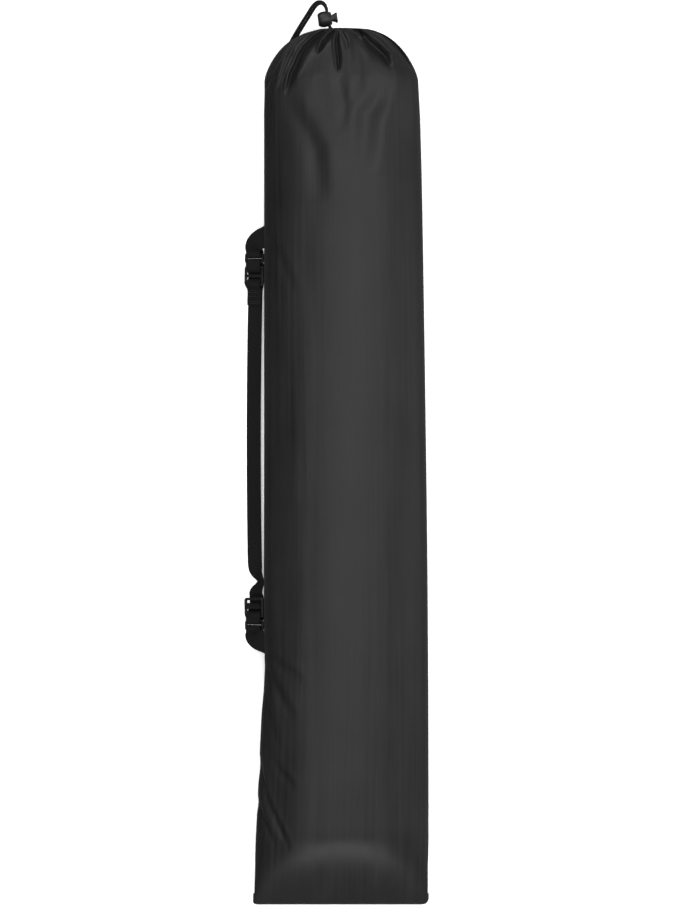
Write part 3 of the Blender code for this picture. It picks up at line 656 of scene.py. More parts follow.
angles = np.concatenate([
    even_angles(0.0, math.pi, TOP_COLUMNS), even_angles(math.pi, math.tau, UNDER_COLUMNS)
])
DOME_SPACING = 0.0030
crown_y = np.linspace(DOME_START, 0.4994, 500)
crown_length = travelled(np.array([bag_point(y, math.pi / 2) for y in crown_y]))
dome_rows = int(crown_length[-1] / DOME_SPACING)
dome_steps = np.linspace(0, crown_length[-1], dome_rows + 1)[1:]
stations = [-0.4975, -0.4960, -0.4945, -0.4925, -0.4895, -0.4860, -0.4820]
stations += list(np.linspace(-0.4770, 0.25, 80))
stations += list(np.linspace(0.25, DOME_START, 44)[1:])
stations += list(np.interp(dome_steps, crown_length, crown_y))
TURNED_IN = ((0.0128, 0.4978), (0.0112, 0.4950), (0.0100, 0.4912), (0.0092, 0.4870))
fabric = [[bag_point(y, a) for a in angles] for y in stations]
for radius, y in TURNED_IN:  # the cloth dives back into the mouth
    fabric.append([
        (MOUTH[0] + radius * math.cos(a), y, MOUTH[2] + radius * math.sin(a)) for a in angles
    ])
fabric = np.array(fabric)
ROWS, COLUMNS = fabric.shape[:2]
print("bag fabric:", ROWS, "rows of", COLUMNS)


# %% [markdown]
# ## Folds
#
# A real mouth gathers because the cloth is much wider than the ring it is drawn into. Two steps
# copy that. A short cloth simulation, whose resting shape is the ungathered tube, lets the spare
# width buckle into small pleats. The few big folds lie where a hand pulled the cord, and a
# simulation wouldn't put them there, so they are pressed in along lines that run from the mouth
# over the shoulder.


# %% Distance to a line
def near_line(points, line):
    """For each point, its distance to a line in plan, its share along it and its side."""
    best = np.full(len(points), 1e9)
    share = np.zeros(len(points))
    side = np.zeros(len(points))
    line = np.asarray(line, float)
    lengths = np.linalg.norm(np.diff(line, axis=0), axis=1)
    total, done = lengths.sum(), 0.0
    for a, b, length in zip(line, line[1:], lengths):
        along = (b - a) / length
        offset = points - a
        t = np.clip(offset @ along, 0, length)
        away = offset - t[:, None] * along
        turned = np.sign(along[0] * offset[:, 1] - along[1] * offset[:, 0])
        distance = np.linalg.norm(away, axis=1)
        closer = distance < best
        best = np.where(closer, distance, best)
        share = np.where(closer, (done + t) / total, share)
        side = np.where(closer, turned, side)
        done += length
    return best, share, side


# %% Main folds
MM = 1000
# Each fold, in millimetres: its depth; its width on the steep side and on the gentle side; the
# height of the ridge along the steep side; 1 or -1 for the side of the line, left or right of
# the way down, where the steep side lies; and its valley in plan, from the mouth down. A fold
# with a depth below zero is a rounded ridge.
FOLDS = (
    (4.4, 1.5, 3.4, 1.7, -1, (
        (-4.9, 497), (-4.9, 491), (-6.3, 483), (-5.4, 471), (-4.0, 460), (-4.3, 446))),
    (3.8, 1.6, 2.6, 1.6, -1, (
        (-6.5, 497), (-7.5, 495), (-13.8, 489), (-20.4, 481), (-27.0, 467))),
    (4.0, 2.0, 6.0, 2.2, -1, (
        (-16, 497), (-32, 486), (-40, 478), (-47, 467), (-52, 455), (-57, 445), (-63.5, 422))),
    (5.5, 1.6, 7.0, 1.6, 1, (
        (-24, 498), (-47, 493), (-62.5, 474), (-74.5, 456), (-80, 442), (-88, 424))),
    (6.0, 4.2, 7.0, 2.6, 1, (
        (8, 498), (24, 491), (31, 482), (40, 474.5), (49, 466.5), (55, 454))),
    (4.2, 1.5, 3.4, 1.6, 1, (
        (20, 499), (44, 493), (54.5, 486), (63, 477), (70.5, 468), (79.5, 454))),
    (3.4, 1.3, 2.0, 2.6, -1, ((10, 498), (20, 494), (26, 484))),
    (1.3, 1.6, 2.6, 0.8, 1, ((-36, 494), (-52, 480), (-60, 464), (-66, 448), (-71, 432))),
    (1.2, 1.6, 3.0, 0.7, 1, ((34, 497), (50, 488), (60, 476), (66, 462))),
    (1.1, 2.0, 4.0, 0.6, 1, ((-2, 496), (5, 484), (8, 470))),
    (-3.4, 5.0, 4.0, 0.0, 1, ((-30, 497), (-50, 486), (-62, 470), (-69, 450), (-75, 428))),
    (-1.6, 4.0, 4.0, 0.0, 1, ((28, 498), (46, 488), (60, 472), (68, 455))),
)
FIRST_PRESS = 0.35  # how deep the folds are before the simulation, which rounds them off


def press_folds(points, strength):
    """Moves points of the upper fabric down into each fold and up beside it."""
    moved = points.copy()
    flat = points[:, :2] * MM
    upper = np.clip((points[:, 2] * MM - 30) / 7, 0, 1)
    for depth, steep, gentle, ridge, hand, line in FOLDS:
        distance, share, side = near_line(flat, line)
        signed = distance * side * hand
        fade = np.clip(share / 0.12, 0, 1) * np.clip((1 - share) / 0.18, 0, 1) ** 0.8
        fade = np.where(share > 0.9995, 0, fade)
        taper = 0.30 + 0.70 * np.sin(math.pi * np.clip(share, 0, 1)) ** 0.7
        width = np.where(signed > 0, steep, gentle) * taper
        valley = depth * np.exp(-((distance / width) ** 2))
        beside = (signed - 1.9 * steep * taper) / (0.9 * steep * taper + 0.5)
        crest = ridge * np.exp(-(beside**2))
        moved[:, 2] += (crest - valley) * fade * upper * strength / MM
    return moved


fabric = press_folds(fabric.reshape(-1, 3), FIRST_PRESS).reshape(ROWS, COLUMNS, 3)
print("main folds:", len(FOLDS))

# %% [markdown]
# Away from the main folds, a little unevenness starts the small pleats. Only the upper part of
# the bag is simulated. Its lower edge is pinned where the cloth lies tight over the poles.

# %% The ungathered shape
SIM_START = next(j for j, y in enumerate(stations) if y > 0.36)
print("simulated rows:", ROWS - SIM_START)


def resting_tube(rows):
    """The same cloth ungathered: past the shoulder's start, each row is a step further along."""
    tube = rows.copy()
    first = next(j for j, y in enumerate(stations[SIM_START:]) if y > DOME_START)
    for j in range(first, len(tube)):
        step = np.linalg.norm(rows[j] - rows[j - 1], axis=1).mean()
        tube[j] = tube[j - 1] + np.array([0, step, 0])
    middle = tube.mean(axis=1, keepdims=True)
    shrink = np.ones(len(tube))
    shrink[first:] = np.interp(np.arange(len(tube) - first), [0, 25, len(tube)], [1.0, 0.80, 0.62])
    return middle + (tube - middle) * shrink[:, None, None]


# %% Cloth simulation
FRAMES = 24
MOST_MOVED = 0.007
PLEAT_COUNTS = (9, 13, 19, 26)
UNEVENNESS = 0.00045
SETTLE_START, SETTLE_LENGTH = 0.400, 0.050  # where the simulated shape takes over
CLOTH_SETTINGS = {
    "quality": 6, "mass": 0.15, "tension_stiffness": 25, "compression_stiffness": 12,
    "shear_stiffness": 5, "bending_stiffness": 0.4, "air_damping": 4,
    "vertex_group_mass": "held", "use_pressure": True, "uniform_pressure_force": 0.5,
}


def unsettle(rows):
    """Waves round the upper rows, so that the spare width has somewhere to begin to buckle."""
    phases = np.random.default_rng(7).uniform(0, math.tau, len(PLEAT_COUNTS))
    for j in range(len(rows)):
        y = stations[SIM_START + j] if SIM_START + j < len(stations) else 0.5
        reach = min(1.0, max(0.0, (y - 0.425) / 0.06))
        for i, a in enumerate(angles):
            wave = sum(math.sin(k * a + p) for k, p in zip(PLEAT_COUNTS, phases))
            centre = np.array([MOUTH[0], rows[j][i][1], MOUTH[2]])
            out = rows[j][i] - centre
            rows[j][i] += out / max(1e-6, np.linalg.norm(out)) * wave * UNEVENNESS * reach


def gather(rows):
    """The rows after a short simulation with light pressure inside and no gravity."""
    unsettle(rows)
    piece = grid_piece("gather_trial", rows, nylon)
    tube = resting_tube(rows)
    piece.shape_key_add(name="Basis")
    key = piece.shape_key_add(name="ungathered")
    key.data.foreach_set("co", tube.reshape(-1))
    pin = piece.vertex_groups.new(name="held")
    last = len(rows) - 1
    for j in range(len(rows)):
        hold = max(0.0, 1 - j / 6) if j < 6 else (1.0 if j > last - 4 else 0.0)
        if hold:
            pin.add([j * COLUMNS + i for i in range(COLUMNS)], hold, "REPLACE")
    under = [v.index for v in piece.data.vertices if v.co.z < 0.0012]
    pin.add(under, 0.6, "ADD")
    cloth = piece.modifiers.new("cloth", "CLOTH")
    for label, value in CLOTH_SETTINGS.items():
        setattr(cloth.settings, label, value)
    cloth.settings.rest_shape_key = key
    cloth.settings.effector_weights.gravity = 0.0
    cloth.collision_settings.use_collision = False
    cloth.point_cache.frame_start = 1
    cloth.point_cache.frame_end = FRAMES
    for f in range(1, FRAMES + 1):
        scene.frame_set(f)
    graph = bpy.context.evaluated_depsgraph_get()
    mesh = piece.evaluated_get(graph).to_mesh()
    after = np.zeros(len(mesh.vertices) * 3)
    mesh.vertices.foreach_get("co", after)
    piece.evaluated_get(graph).to_mesh_clear()
    scene.frame_set(1)
    bpy.data.objects.remove(piece)
    move = after.reshape(rows.shape) - rows
    distance = np.linalg.norm(move, axis=2)
    print("gathering moved the cloth by up to", round(distance.max() * MM, 1), "mm")
    heights = np.array((stations[SIM_START:] + [0.5] * len(rows))[: len(rows)])
    settle = np.clip((heights - SETTLE_START) / SETTLE_LENGTH, 0, 1)[:, None, None]
    return rows + move * settle * np.minimum(1, MOST_MOVED / np.maximum(distance, 1e-9))[..., None]


fabric[SIM_START:] = gather(fabric[SIM_START:].copy())
fabric[..., 2] = np.maximum(fabric[..., 2], FLOOR_GAP)

# %% [markdown]
# The cloth is then split once to halve its spacing, and the crisp details are pressed into the
# finer points: the sharp bottoms of the main folds, the puckers where the strap's lower tab pulls
# on the side, the drag lines in the bottom corner, and the long slack waves of the body. Texture
# bump could fake them, but real heights also show in the outline and catch the light rightly.

# %% Split the cloth
bag = grid_piece("bag_fabric", fabric, nylon)
split = bag.modifiers.new("split", "SUBSURF")
split.levels = split.render_levels = 1
apply_modifiers(bag)
print("bag fabric has", len(bag.data.vertices), "points")

# %% Drag lines and slack
# Each drag line, in millimetres: its height, its width, and its crest in plan.
DRAG_LINES = (
    (3.0, 2.8, ((-93, -325), (-90, -350), (-84, -376), (-58, -430))),
    (2.4, 2.6, ((-96, -372), (-90, -395), (-74, -428))),
    (2.2, 3.0, ((-78, -330), (-70, -342), (-52, -360))),
    (2.6, 4.6, ((-90, -204), (-70, -224), (-44, -238))),
    (2.4, 5.0, ((-90, -212), (-76, -246), (-54, -284))),
    (2.2, 4.6, ((-89, -222), (-84, -270), (-72, -318))),
    (1.4, 5.0, ((-88, 262), (-70, 240), (-54, 200))),
    (2.2, 10.0, ((-64, 424), (-50, 396), (-30, 360), (-24, 300))),
    (2.0, 10.0, ((52, 452), (46, 420), (28, 398), (22, 330))),
    (-2.0, 12.0, ((64, 452), (56, 425), (52, 390), (46, 330))),
    (1.0, 6.0, ((-6, 440), (4, 410), (0, 380))),
    (1.8, 3.4, ((-84, 440), (-80, 410), (-82, 360))),
)
SLACK, SEAM_DIP = 0.9, 0.7  # millimetres


def wave(x, y, seed):
    """A slow, wandering height between -1 and 1 for the slack of the body."""
    chaos = np.random.default_rng(seed)
    total = 0.0
    for k in range(5):
        fx, fy = chaos.uniform(12, 34), chaos.uniform(5, 17)
        p, q = chaos.uniform(0, math.tau, 2)
        total = total + np.sin(fx * x + 1.7 * np.sin(fy * y * 0.6 + q) + p) * np.cos(fy * y + q)
    return total / 5


def drag_lift(points):
    """Millimetres by which the drag lines lift each point, with a trough along one side."""
    lift = np.zeros(len(points))
    for height, width, line in DRAG_LINES:
        distance, share, side = near_line(points[:, :2] * MM, line)
        fade = np.sin(np.clip(share, 0, 1) * math.pi) ** 0.7
        ripple = np.exp(-((distance / width) ** 2))
        trough = np.exp(-(((distance * side - 1.7 * width) / width) ** 2))
        lift += height * (ripple - 0.35 * trough) * fade
    return lift


def shoulder_drop(x, y):
    """Millimetres by which the cloth falls beside the top row of poles, which holds it up."""
    left_edge = -0.032 - 0.008 * np.exp(-(((y - 0.235) / 0.05) ** 2)) + 0.003 * np.sin(14 * y)
    right_edge = 0.040 + 0.003 * np.sin(11 * y + 1.0)
    fall = np.zeros(len(x))
    for beyond, drop, reach in ((left_edge - x, 0.95, 0.022), (x - right_edge, 0.45, 0.020)):
        share = np.log1p(np.exp(np.clip(beyond / 0.002, -30, 30))) * 0.002 / reach
        fall += drop * share * np.exp(1 - share)
    return fall


# %% Press the details in
def vertex_values(mesh, label):
    found = np.zeros(len(mesh.vertices) * 3)
    mesh.vertices.foreach_get(label, found)
    return found.reshape(-1, 3)


def press_details(piece):
    """Lifts the bag's points along their normals, after the main folds at full depth."""
    mesh = piece.data
    points, normals = vertex_values(mesh, "co"), vertex_values(mesh, "normal")
    x, y, z = points.T
    upper = np.clip((z * MM - 12) / 14, 0, 1)
    body = np.clip((0.46 - y) / 0.06, 0, 1) * np.clip((y + 0.495) / 0.05, 0, 1)
    lift = (SLACK * wave(x, y, 3) - shoulder_drop(x, y)) * body * upper + drag_lift(points) * upper
    seams = np.exp(-(((z - SEAM_HEIGHT) * MM / 1.6) ** 2)) * body
    lift -= SEAM_DIP * seams * (np.abs(normals[:, 2]) < 0.6)
    points = press_folds(points, 1.0)
    points += normals * lift[:, None] / MM
    points[:, 2] = np.maximum(points[:, 2], FLOOR_GAP)
    mesh.vertices.foreach_set("co", points.reshape(-1))
    mesh.update()


press_details(bag)
bag.data.shade_smooth()
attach(bag, "bag")
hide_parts("bag_front_panel", "bag_back_panel", "bag_front_gathers", "bag_back_gathers")
print("bag fabric has", len(bag.data.polygons), "faces")

# %% [markdown]
# The drawstring runs in a hem that is drawn up with the mouth. It is a ring of cloth with
# seventeen small puckers, just inside the crown. A torus with a wave in its thickness does for
# it, because little of it shows.


# %% Gathered hem
def weld_seam(piece):
    """Joins the points that lie on each other, such as a ring's first row and its last."""
    weld = piece.modifiers.new("weld", "WELD")
    weld.merge_threshold = 0.00001
    apply_modifiers(piece)


HEM_RADIUS, HEM_TUBE, PUCKER, PUCKERS = 0.0115, 0.0040, 0.0007, 17
HEM_ROWS, HEM_POINTS = 18, 180
hem_rows = []
for k in range(HEM_ROWS):
    turn = math.tau * k / HEM_ROWS
    row = []
    for i in range(HEM_POINTS):
        a = math.tau * i / HEM_POINTS
        pucker = math.sin(PUCKERS * a + 1.3 * math.sin(3 * a)) * (0.6 + 0.4 * math.cos(turn))
        thick = HEM_TUBE + PUCKER * pucker
        radius = HEM_RADIUS + thick * math.cos(turn)
        rise = thick * math.sin(turn) + 0.0003 * math.sin(5 * a)
        row.append(MOUTH + (radius * math.cos(a), rise, radius * math.sin(a)))
    hem_rows.append(row)
hem = grid_piece("gathered_hem", hem_rows + hem_rows[:1], nylon)
weld_seam(hem)
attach(hem, "bag")
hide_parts("drawstring_casing")
print("gathered hem has", len(hem.data.polygons), "faces")

# %% [markdown]
# ## Webbing
#
# Webbing is a flat woven strap with a soft rolled edge. It follows the same path as in the hard
# model: through the ring, woven over and under the buckle's bars, and back on itself where it is
# sewn. A flat plane with thickness would be quicker, but it couldn't pass round a bar, so a
# rounded section is swept along the path.

# %% Strap sizes
LEAN = math.radians(35)  # the strap lies against the bag's side at this slope
ACROSS = np.array([math.cos(LEAN), 0, math.sin(LEAN)])
AWAY = np.array([-math.sin(LEAN), 0, math.cos(LEAN)])
UPPER_RING_Y, LOWER_RING_Y = 0.2400, -0.1800
RING_LENGTH, SLIDER_LENGTH, FRAME_THICKNESS = 0.0120, 0.0226, 0.0030
END_BAR, CENTRE_BAR, SIDE_BAR, FRAME_WIDTH = 0.0028, 0.0034, 0.0027, 0.0262
WEB_WIDTH, WEB_THICKNESS, GAP = 0.020, 0.0014, 0.0003
FRAME_GAP = 0.003
BUCKLE_Y = UPPER_RING_Y - RING_LENGTH / 2 - FRAME_GAP - SLIDER_LENGTH / 2
SLIDER_Y = LOWER_RING_Y + RING_LENGTH / 2 + FRAME_GAP + SLIDER_LENGTH / 2
BEND_ROOM = WEB_THICKNESS / 2 + GAP + 0.0002
WRAP = math.hypot(END_BAR, FRAME_THICKNESS) / 2 + BEND_ROOM
SEWN_END_Y = 0.1864
print("buckle at", round(BUCKLE_Y, 4), "and slider at", round(SLIDER_Y, 4))


# %% The strap's own line
def strap_centre(y):
    """The middle of the strap, which bows out and sinks a little between its rings."""
    middle = (UPPER_RING_Y + LOWER_RING_Y) / 2
    fall = 1 - ((y - middle) / ((UPPER_RING_Y - LOWER_RING_Y) / 2)) ** 2
    return np.array([-0.0994 - 0.0030 * fall, y, 0.0128 - 0.0034 * fall])


def strap_point(y, height):
    """A point at a height over the strap's middle, away from the bag."""
    return strap_centre(y) + AWAY * height


def strap_frame(y):
    """The place and turn of a flat fitting on the strap."""
    ahead = Vector(strap_centre(y + 0.005) - strap_centre(y - 0.005)).normalized()
    wide = Vector(ACROSS)
    wide = (wide - ahead * wide.dot(ahead)).normalized()
    turned = Matrix((wide, ahead, wide.cross(ahead))).transposed().to_4x4()
    return Matrix.Translation(Vector(strap_centre(y))) @ turned


# %% Sweeping webbing
ROLLED_EDGE = 0.0008


def web_section(width, thickness):
    """Outline of webbing: flat faces and rolled edges, as (across, through) pairs."""
    flat, half_thick = width / 2 - ROLLED_EDGE, thickness / 2
    section = []
    for side in (1, -1):
        for share in np.linspace(-1, 1, 15):
            section.append((side * share * flat, side * half_thick))
        for turn in np.radians((60, 30, 0, -30, -60)):
            edge = flat + ROLLED_EDGE * math.cos(turn)
            section.append((side * edge, side * half_thick * math.sin(turn) * 1.05))
    return section


def sweep_webbing(name, places, wides, width=WEB_WIDTH, sheared=False):
    """Webbing through places, each with the direction of its width, at right angles or sheared."""
    places, wides = np.asarray(places), np.asarray(wides)
    aheads = np.gradient(places, axis=0)
    widths = np.broadcast_to(width, len(places))
    rows = []
    for place, wide, ahead, span in zip(places, wides, aheads, widths):
        ahead = ahead / np.linalg.norm(ahead)
        if not sheared:
            wide = wide - ahead * (wide @ ahead)
            wide = wide / np.linalg.norm(wide)
        through = np.cross(wide, ahead)
        through = through / np.linalg.norm(through)
        rows.append([place + wide * a + through * t for a, t in web_section(span, WEB_THICKNESS)])
    return grid_piece(name, rows, webbing, capped=True)


TWIST_Y, TWIST_LENGTH, TWIST = -0.1300, 0.0095, math.radians(33)  # slack above the slider
TWIST_SHIFT = np.array([0.0062, 0, 0.0012])


def web_path(path, spacing):
    """(along, height) pairs on the strap, smoothed, as points and width directions."""
    places, wides = [], []
    for y, height in smooth_line(path, spacing):
        turn = math.exp(-(((y - TWIST_Y) / TWIST_LENGTH) ** 2))
        lean = LEAN + TWIST * turn
        places.append(strap_point(y, height) + TWIST_SHIFT * turn)
        wides.append(np.array([math.cos(lean), 0, math.sin(lean)]))
    return places, wides


# %% Ways over the bars
EDGE = FRAME_THICKNESS / 2
TOP = EDGE + BEND_ROOM + 0.0002


def arc(y, start, end, radius, count=8):
    """(along, height) pairs round a bar, between two angles in degrees."""
    turns = np.radians(np.linspace(start, end, count + 1))
    return [(y + radius * math.cos(t), radius * math.sin(t)) for t in turns]


def weave_down(centre, direction):
    """Over a frame's end bar and down under its centre bar."""
    inner_edge = SLIDER_LENGTH / 2 - END_BAR
    places = (
        (SLIDER_LENGTH / 2, TOP), (inner_edge + 0.0006, TOP), (inner_edge - 0.0020, EDGE + 0.0002),
        (CENTRE_BAR / 2 + 0.0020, -EDGE - 0.0002), (CENTRE_BAR / 2 - 0.0006, -TOP),
    )
    return [(centre + direction * y, height) for y, height in places]


# %% Shoulder strap
BAR = (RING_LENGTH - END_BAR) / 2
UPPER_BAR, LOWER_BAR = UPPER_RING_Y - BAR, LOWER_RING_Y + BAR
UNDER = -WRAP
BELOW = -EDGE - 2 * BEND_ROOM - WEB_THICKNESS / 2 - 0.0006
RESTING = UNDER + WEB_THICKNESS + GAP
BUCKLE_LOW, BUCKLE_HIGH = BUCKLE_Y - SLIDER_LENGTH / 2, BUCKLE_Y + SLIDER_LENGTH / 2
SLIDER_LOW, SLIDER_HIGH = SLIDER_Y - SLIDER_LENGTH / 2, SLIDER_Y + SLIDER_LENGTH / 2
strap_path = [
    (SEWN_END_Y, RESTING), (SEWN_END_Y + 0.006, RESTING),
    (BUCKLE_LOW - 0.0055, RESTING), (BUCKLE_LOW - 0.0024, 0.0004),
    *weave_down(BUCKLE_Y, -1), *weave_down(BUCKLE_Y, 1)[::-1], *arc(UPPER_BAR, 90, -90, WRAP),
    (BUCKLE_HIGH - 0.002, BELOW), (BUCKLE_LOW + 0.002, BELOW),
    *[(y, UNDER) for y in np.linspace(BUCKLE_LOW - 0.006, SLIDER_HIGH + 0.006, 40)],
    (SLIDER_HIGH - 0.002, BELOW), (SLIDER_LOW + 0.002, BELOW), *arc(LOWER_BAR, 270, 182, WRAP, 4),
]
strap = sweep_webbing("shoulder_strap_webbing", *web_path(strap_path, 0.0012))
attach(strap, "strap")
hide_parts("shoulder_strap")
print("strap webbing has", len(strap.data.polygons), "faces")

# %% [markdown]
# At the lower end the webbing turns round the ring and goes back through the slider. When the
# slider moves, this fold has to grow, so it is a piece of its own.

# %% Lower fold
FOLD_BAR = SLIDER_Y + CENTRE_BAR / 2
fold_path = [
    *arc(LOWER_BAR, 158, 90, WRAP, 4), *weave_down(SLIDER_Y, -1),
    (FOLD_BAR - 0.0006, -TOP), (FOLD_BAR + 0.0022, -EDGE), (FOLD_BAR + 0.0022, EDGE),
    (FOLD_BAR - 0.0006, TOP), (SLIDER_Y - CENTRE_BAR / 2 + 0.0004, TOP),
]
fold = sweep_webbing("lower_fold_webbing", *web_path(fold_path, 0.0006))
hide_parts("strap_lower_fold")
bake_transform(fold)
print("lower fold has", len(fold.data.polygons), "faces")

# %% [markdown]
# Each tab is a doubled piece of webbing whose two ends are sewn into the bag's side seam. It
# leaves the seam flat along the bag, turns a quarter and wraps the ring's bar. It runs from the
# bag to the strap, and the real tab bends where the strap hinges.


# %% Tabs
TAB_ROOT_X, TAB_ROOT_WIDTH = -0.0868, 0.025
TAB_BULGE, TAB_SLACK = 0.0075, 0.0011


def make_tab(name, root_y, ring_y, direction):
    """Webbing from the side seam, turned a quarter and looped round the ring's bar."""
    bar_y = ring_y + direction * BAR
    end = strap_point(bar_y + direction * 0.0035, 0)
    root = np.array([TAB_ROOT_X, root_y, SEAM_HEIGHT])
    layer = WEB_THICKNESS / 2 + GAP
    forward, back = [], []
    for t in np.linspace(0, 1, 26):
        ease = t * t * (3 - 2 * t)
        centre = root + (end - root) * t
        bulge = TAB_BULGE * math.sin(math.pi * t) * (1 - 0.45 * t)
        centre[0] = root[0] + (end[0] - root[0]) * ease - bulge
        lean = ease * math.pi / 2
        wide = np.array([0, 1.0, 0]) * math.cos(lean) - ACROSS * direction * math.sin(lean)
        facing = np.array([0, 0, 1.0]) * (1 - ease) + AWAY * ease
        facing = facing - wide * (facing @ wide)
        facing = facing / np.linalg.norm(facing)
        span = TAB_ROOT_WIDTH * (1 - ease) + WEB_WIDTH * ease
        spread = layer + (WRAP - layer) * max(0.0, 2 * t - 1) ** 2
        forward.append((centre + facing * spread, wide, span))
        back.append((centre - facing * spread, wide, span))
    bend = []
    for turn in np.linspace(0, math.pi, 14)[1:-1]:
        radial = AWAY * math.cos(turn) + np.array([0, -direction, 0]) * math.sin(turn)
        slack = WRAP + TAB_SLACK * math.sin(turn) ** 2
        bend.append((strap_point(bar_y, 0) + radial * slack, -ACROSS * direction, WEB_WIDTH))
    places, wides, spans = zip(*forward, *bend, *back[::-1])
    tab = sweep_webbing(name, places, wides, width=np.array(spans), sheared=True)
    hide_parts(name.replace("_webbing", ""))
    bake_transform(tab)
    print(name, "has", len(tab.data.polygons), "faces")


make_tab("upper_tab_webbing", 0.2640, UPPER_RING_Y, 1)
make_tab("lower_tab_webbing", -0.1990, LOWER_RING_Y, -1)


# %% [markdown]
# ## Rings, buckle and slider
#
# The plastic frames are flat mouldings with softly rounded edges. They could be boxes with holes
# cut out, but a filled outline that is thickened and bevelled rounds every edge at once. Each is
# laid in the strap's own plane.


# %% Plastic frames
SOFT_EDGE, OUTER_CORNER, HOLE_CORNER = 0.0007, 0.0026, 0.0014


def rounded_outline(curve, length, width, centre, corner):
    """Adds a rectangle with rounded corners to a curve."""
    spline = curve.splines.new("POLY")
    points = []
    for quarter, (sx, sy) in enumerate(((1, 1), (-1, 1), (-1, -1), (1, -1))):
        for k in range(6):
            turn = math.pi / 2 * (quarter + k / 5)
            x = sx * (width / 2 - corner) + corner * math.cos(turn)
            y = centre + sy * (length / 2 - corner) + corner * math.sin(turn)
            points.append((x, y, 0.0, 1.0))
    spline.points.add(len(points) - 1)
    for place, point in zip(spline.points, points):
        place.co = point
    spline.use_cyclic_u = True


def frame_mesh(name, length, holes):
    """The bevelled solid of an outline with its holes, given as (centre, length) pairs."""
    curve = bpy.data.curves.new(name, "CURVE")
    curve.dimensions = "2D"
    curve.fill_mode = "BOTH"
    curve.extrude = FRAME_THICKNESS / 2 - SOFT_EDGE
    curve.bevel_depth = SOFT_EDGE
    curve.bevel_resolution = 3
    grow = 2 * SOFT_EDGE
    rounded_outline(curve, length - grow, FRAME_WIDTH - grow, 0.0, OUTER_CORNER)
    for centre, hole in holes:
        hole_width = FRAME_WIDTH - 2 * SIDE_BAR + grow
        rounded_outline(curve, hole + grow, hole_width, centre, HOLE_CORNER)
    outline = bpy.data.objects.new(name + "_outline", curve)
    scene.collection.objects.link(outline)
    graph = bpy.context.evaluated_depsgraph_get()
    mesh = bpy.data.meshes.new_from_object(outline.evaluated_get(graph))
    bpy.data.objects.remove(outline)
    work = bmesh.new()
    work.from_mesh(mesh)
    bmesh.ops.remove_doubles(work, verts=work.verts, dist=0.00001)
    work.to_mesh(mesh)
    work.free()
    return mesh


def plastic_frame(name, node, body, y, length, holes):
    mesh = frame_mesh(name, length, holes)
    mesh.name = name
    mesh.materials.clear()
    mesh.materials.append(buckle_plastic)
    mesh.shade_smooth()
    mesh.set_sharp_from_angle(angle=math.radians(50))
    made = bpy.data.objects.new(name, mesh)
    scene.collection.objects.link(made)
    made.matrix_world = strap_frame(y)
    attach(made, body)
    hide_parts(node)
    print(name, "has", len(mesh.polygons), "faces")


SLOT = (SLIDER_LENGTH - 2 * END_BAR - CENTRE_BAR) / 2
SLOT_CENTRE = (CENTRE_BAR + SLOT) / 2
RING_HOLE = [(0.0, RING_LENGTH - 2 * END_BAR)]
TWO_SLOTS = [(-SLOT_CENTRE, SLOT), (SLOT_CENTRE, SLOT)]
plastic_frame("upper_ring_frame", "upper_ring", "strap", UPPER_RING_Y, RING_LENGTH, RING_HOLE)
plastic_frame("lower_ring_frame", "lower_ring", "strap", LOWER_RING_Y, RING_LENGTH, RING_HOLE)
plastic_frame("upper_buckle_frame", "upper_buckle", "strap", BUCKLE_Y, SLIDER_LENGTH, TWO_SLOTS)
plastic_frame("lower_slider_frame", "lower_slider", "slider", SLIDER_Y, SLIDER_LENGTH, TWO_SLOTS)


# %% [markdown]
# ## Stitching
#
# Each stitch is a short thread that dives into the cloth at both ends. A bump pattern could stand
# for them, but it would need its own map, and real threads also show from the side. A group of
# stitches is one mesh: the strap's sewn end has cross rows, and the bag's bottom edge one long
# row.


# %% Stitches
THREAD_RADIUS, THREAD_SIDES = 0.00028, 6


def stitch_rows(name, stitches, body):
    """A mesh of stitches. Each is (start, end, outward), and is lifted in its middle."""
    radius = THREAD_RADIUS
    work = bmesh.new()
    for start, end, out in stitches:
        start, end, out = Vector(start), Vector(end), Vector(out).normalized()
        ahead = (end - start).normalized()
        side = out.cross(ahead)
        rings = []
        for t in (0.0, 0.12, 0.35, 0.65, 0.88, 1.0):
            lift = math.sin(math.pi * t) * radius * 0.9 - radius * 0.35
            size = radius * (0.55 if t in (0.0, 1.0) else 1.0)
            centre = start.lerp(end, t) + out * lift
            ring = []
            for k in range(THREAD_SIDES):
                turn = math.tau * k / THREAD_SIDES
                spoke = side * math.cos(turn) + out * math.sin(turn)
                ring.append(work.verts.new(centre + spoke * size))
            rings.append(ring)
        for a, b in zip(rings, rings[1:]):
            for k in range(THREAD_SIDES):
                following = (k + 1) % THREAD_SIDES
                work.faces.new((a[k], a[following], b[following], b[k]))
        work.faces.new(rings[0][::-1])
        work.faces.new(rings[-1])
    bmesh.ops.recalc_face_normals(work, faces=work.faces)
    mesh = bpy.data.meshes.new(name)
    work.to_mesh(mesh)
    work.free()
    mesh.shade_smooth()
    mesh.materials.append(thread)
    made = bpy.data.objects.new(name, mesh)
    scene.collection.objects.link(made)
    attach(made, body)
    print(name, "has", len(stitches), "stitches")


CROSS_ROWS = (0.2030, 0.2008, 0.1965, 0.1905, 0.1885)
cross_stitches = []
for y in CROSS_ROWS:
    for k in range(7):
        start = strap_point(y, RESTING + WEB_THICKNESS / 2) + ACROSS * (-0.0085 + 0.0025 * k)
        cross_stitches.append((start, start + ACROSS * 0.0020, AWAY))
stitch_rows("strap_end_stitching", cross_stitches, "strap")

# %% [markdown]
# The bag's bottom edge is bound with a folded tape that goes round both corners. It could be the
# edge of the cloth itself, made thicker, but then it would have no lip. It is a flat rounded
# section swept along the edge, and its stitches run along the tape's middle.

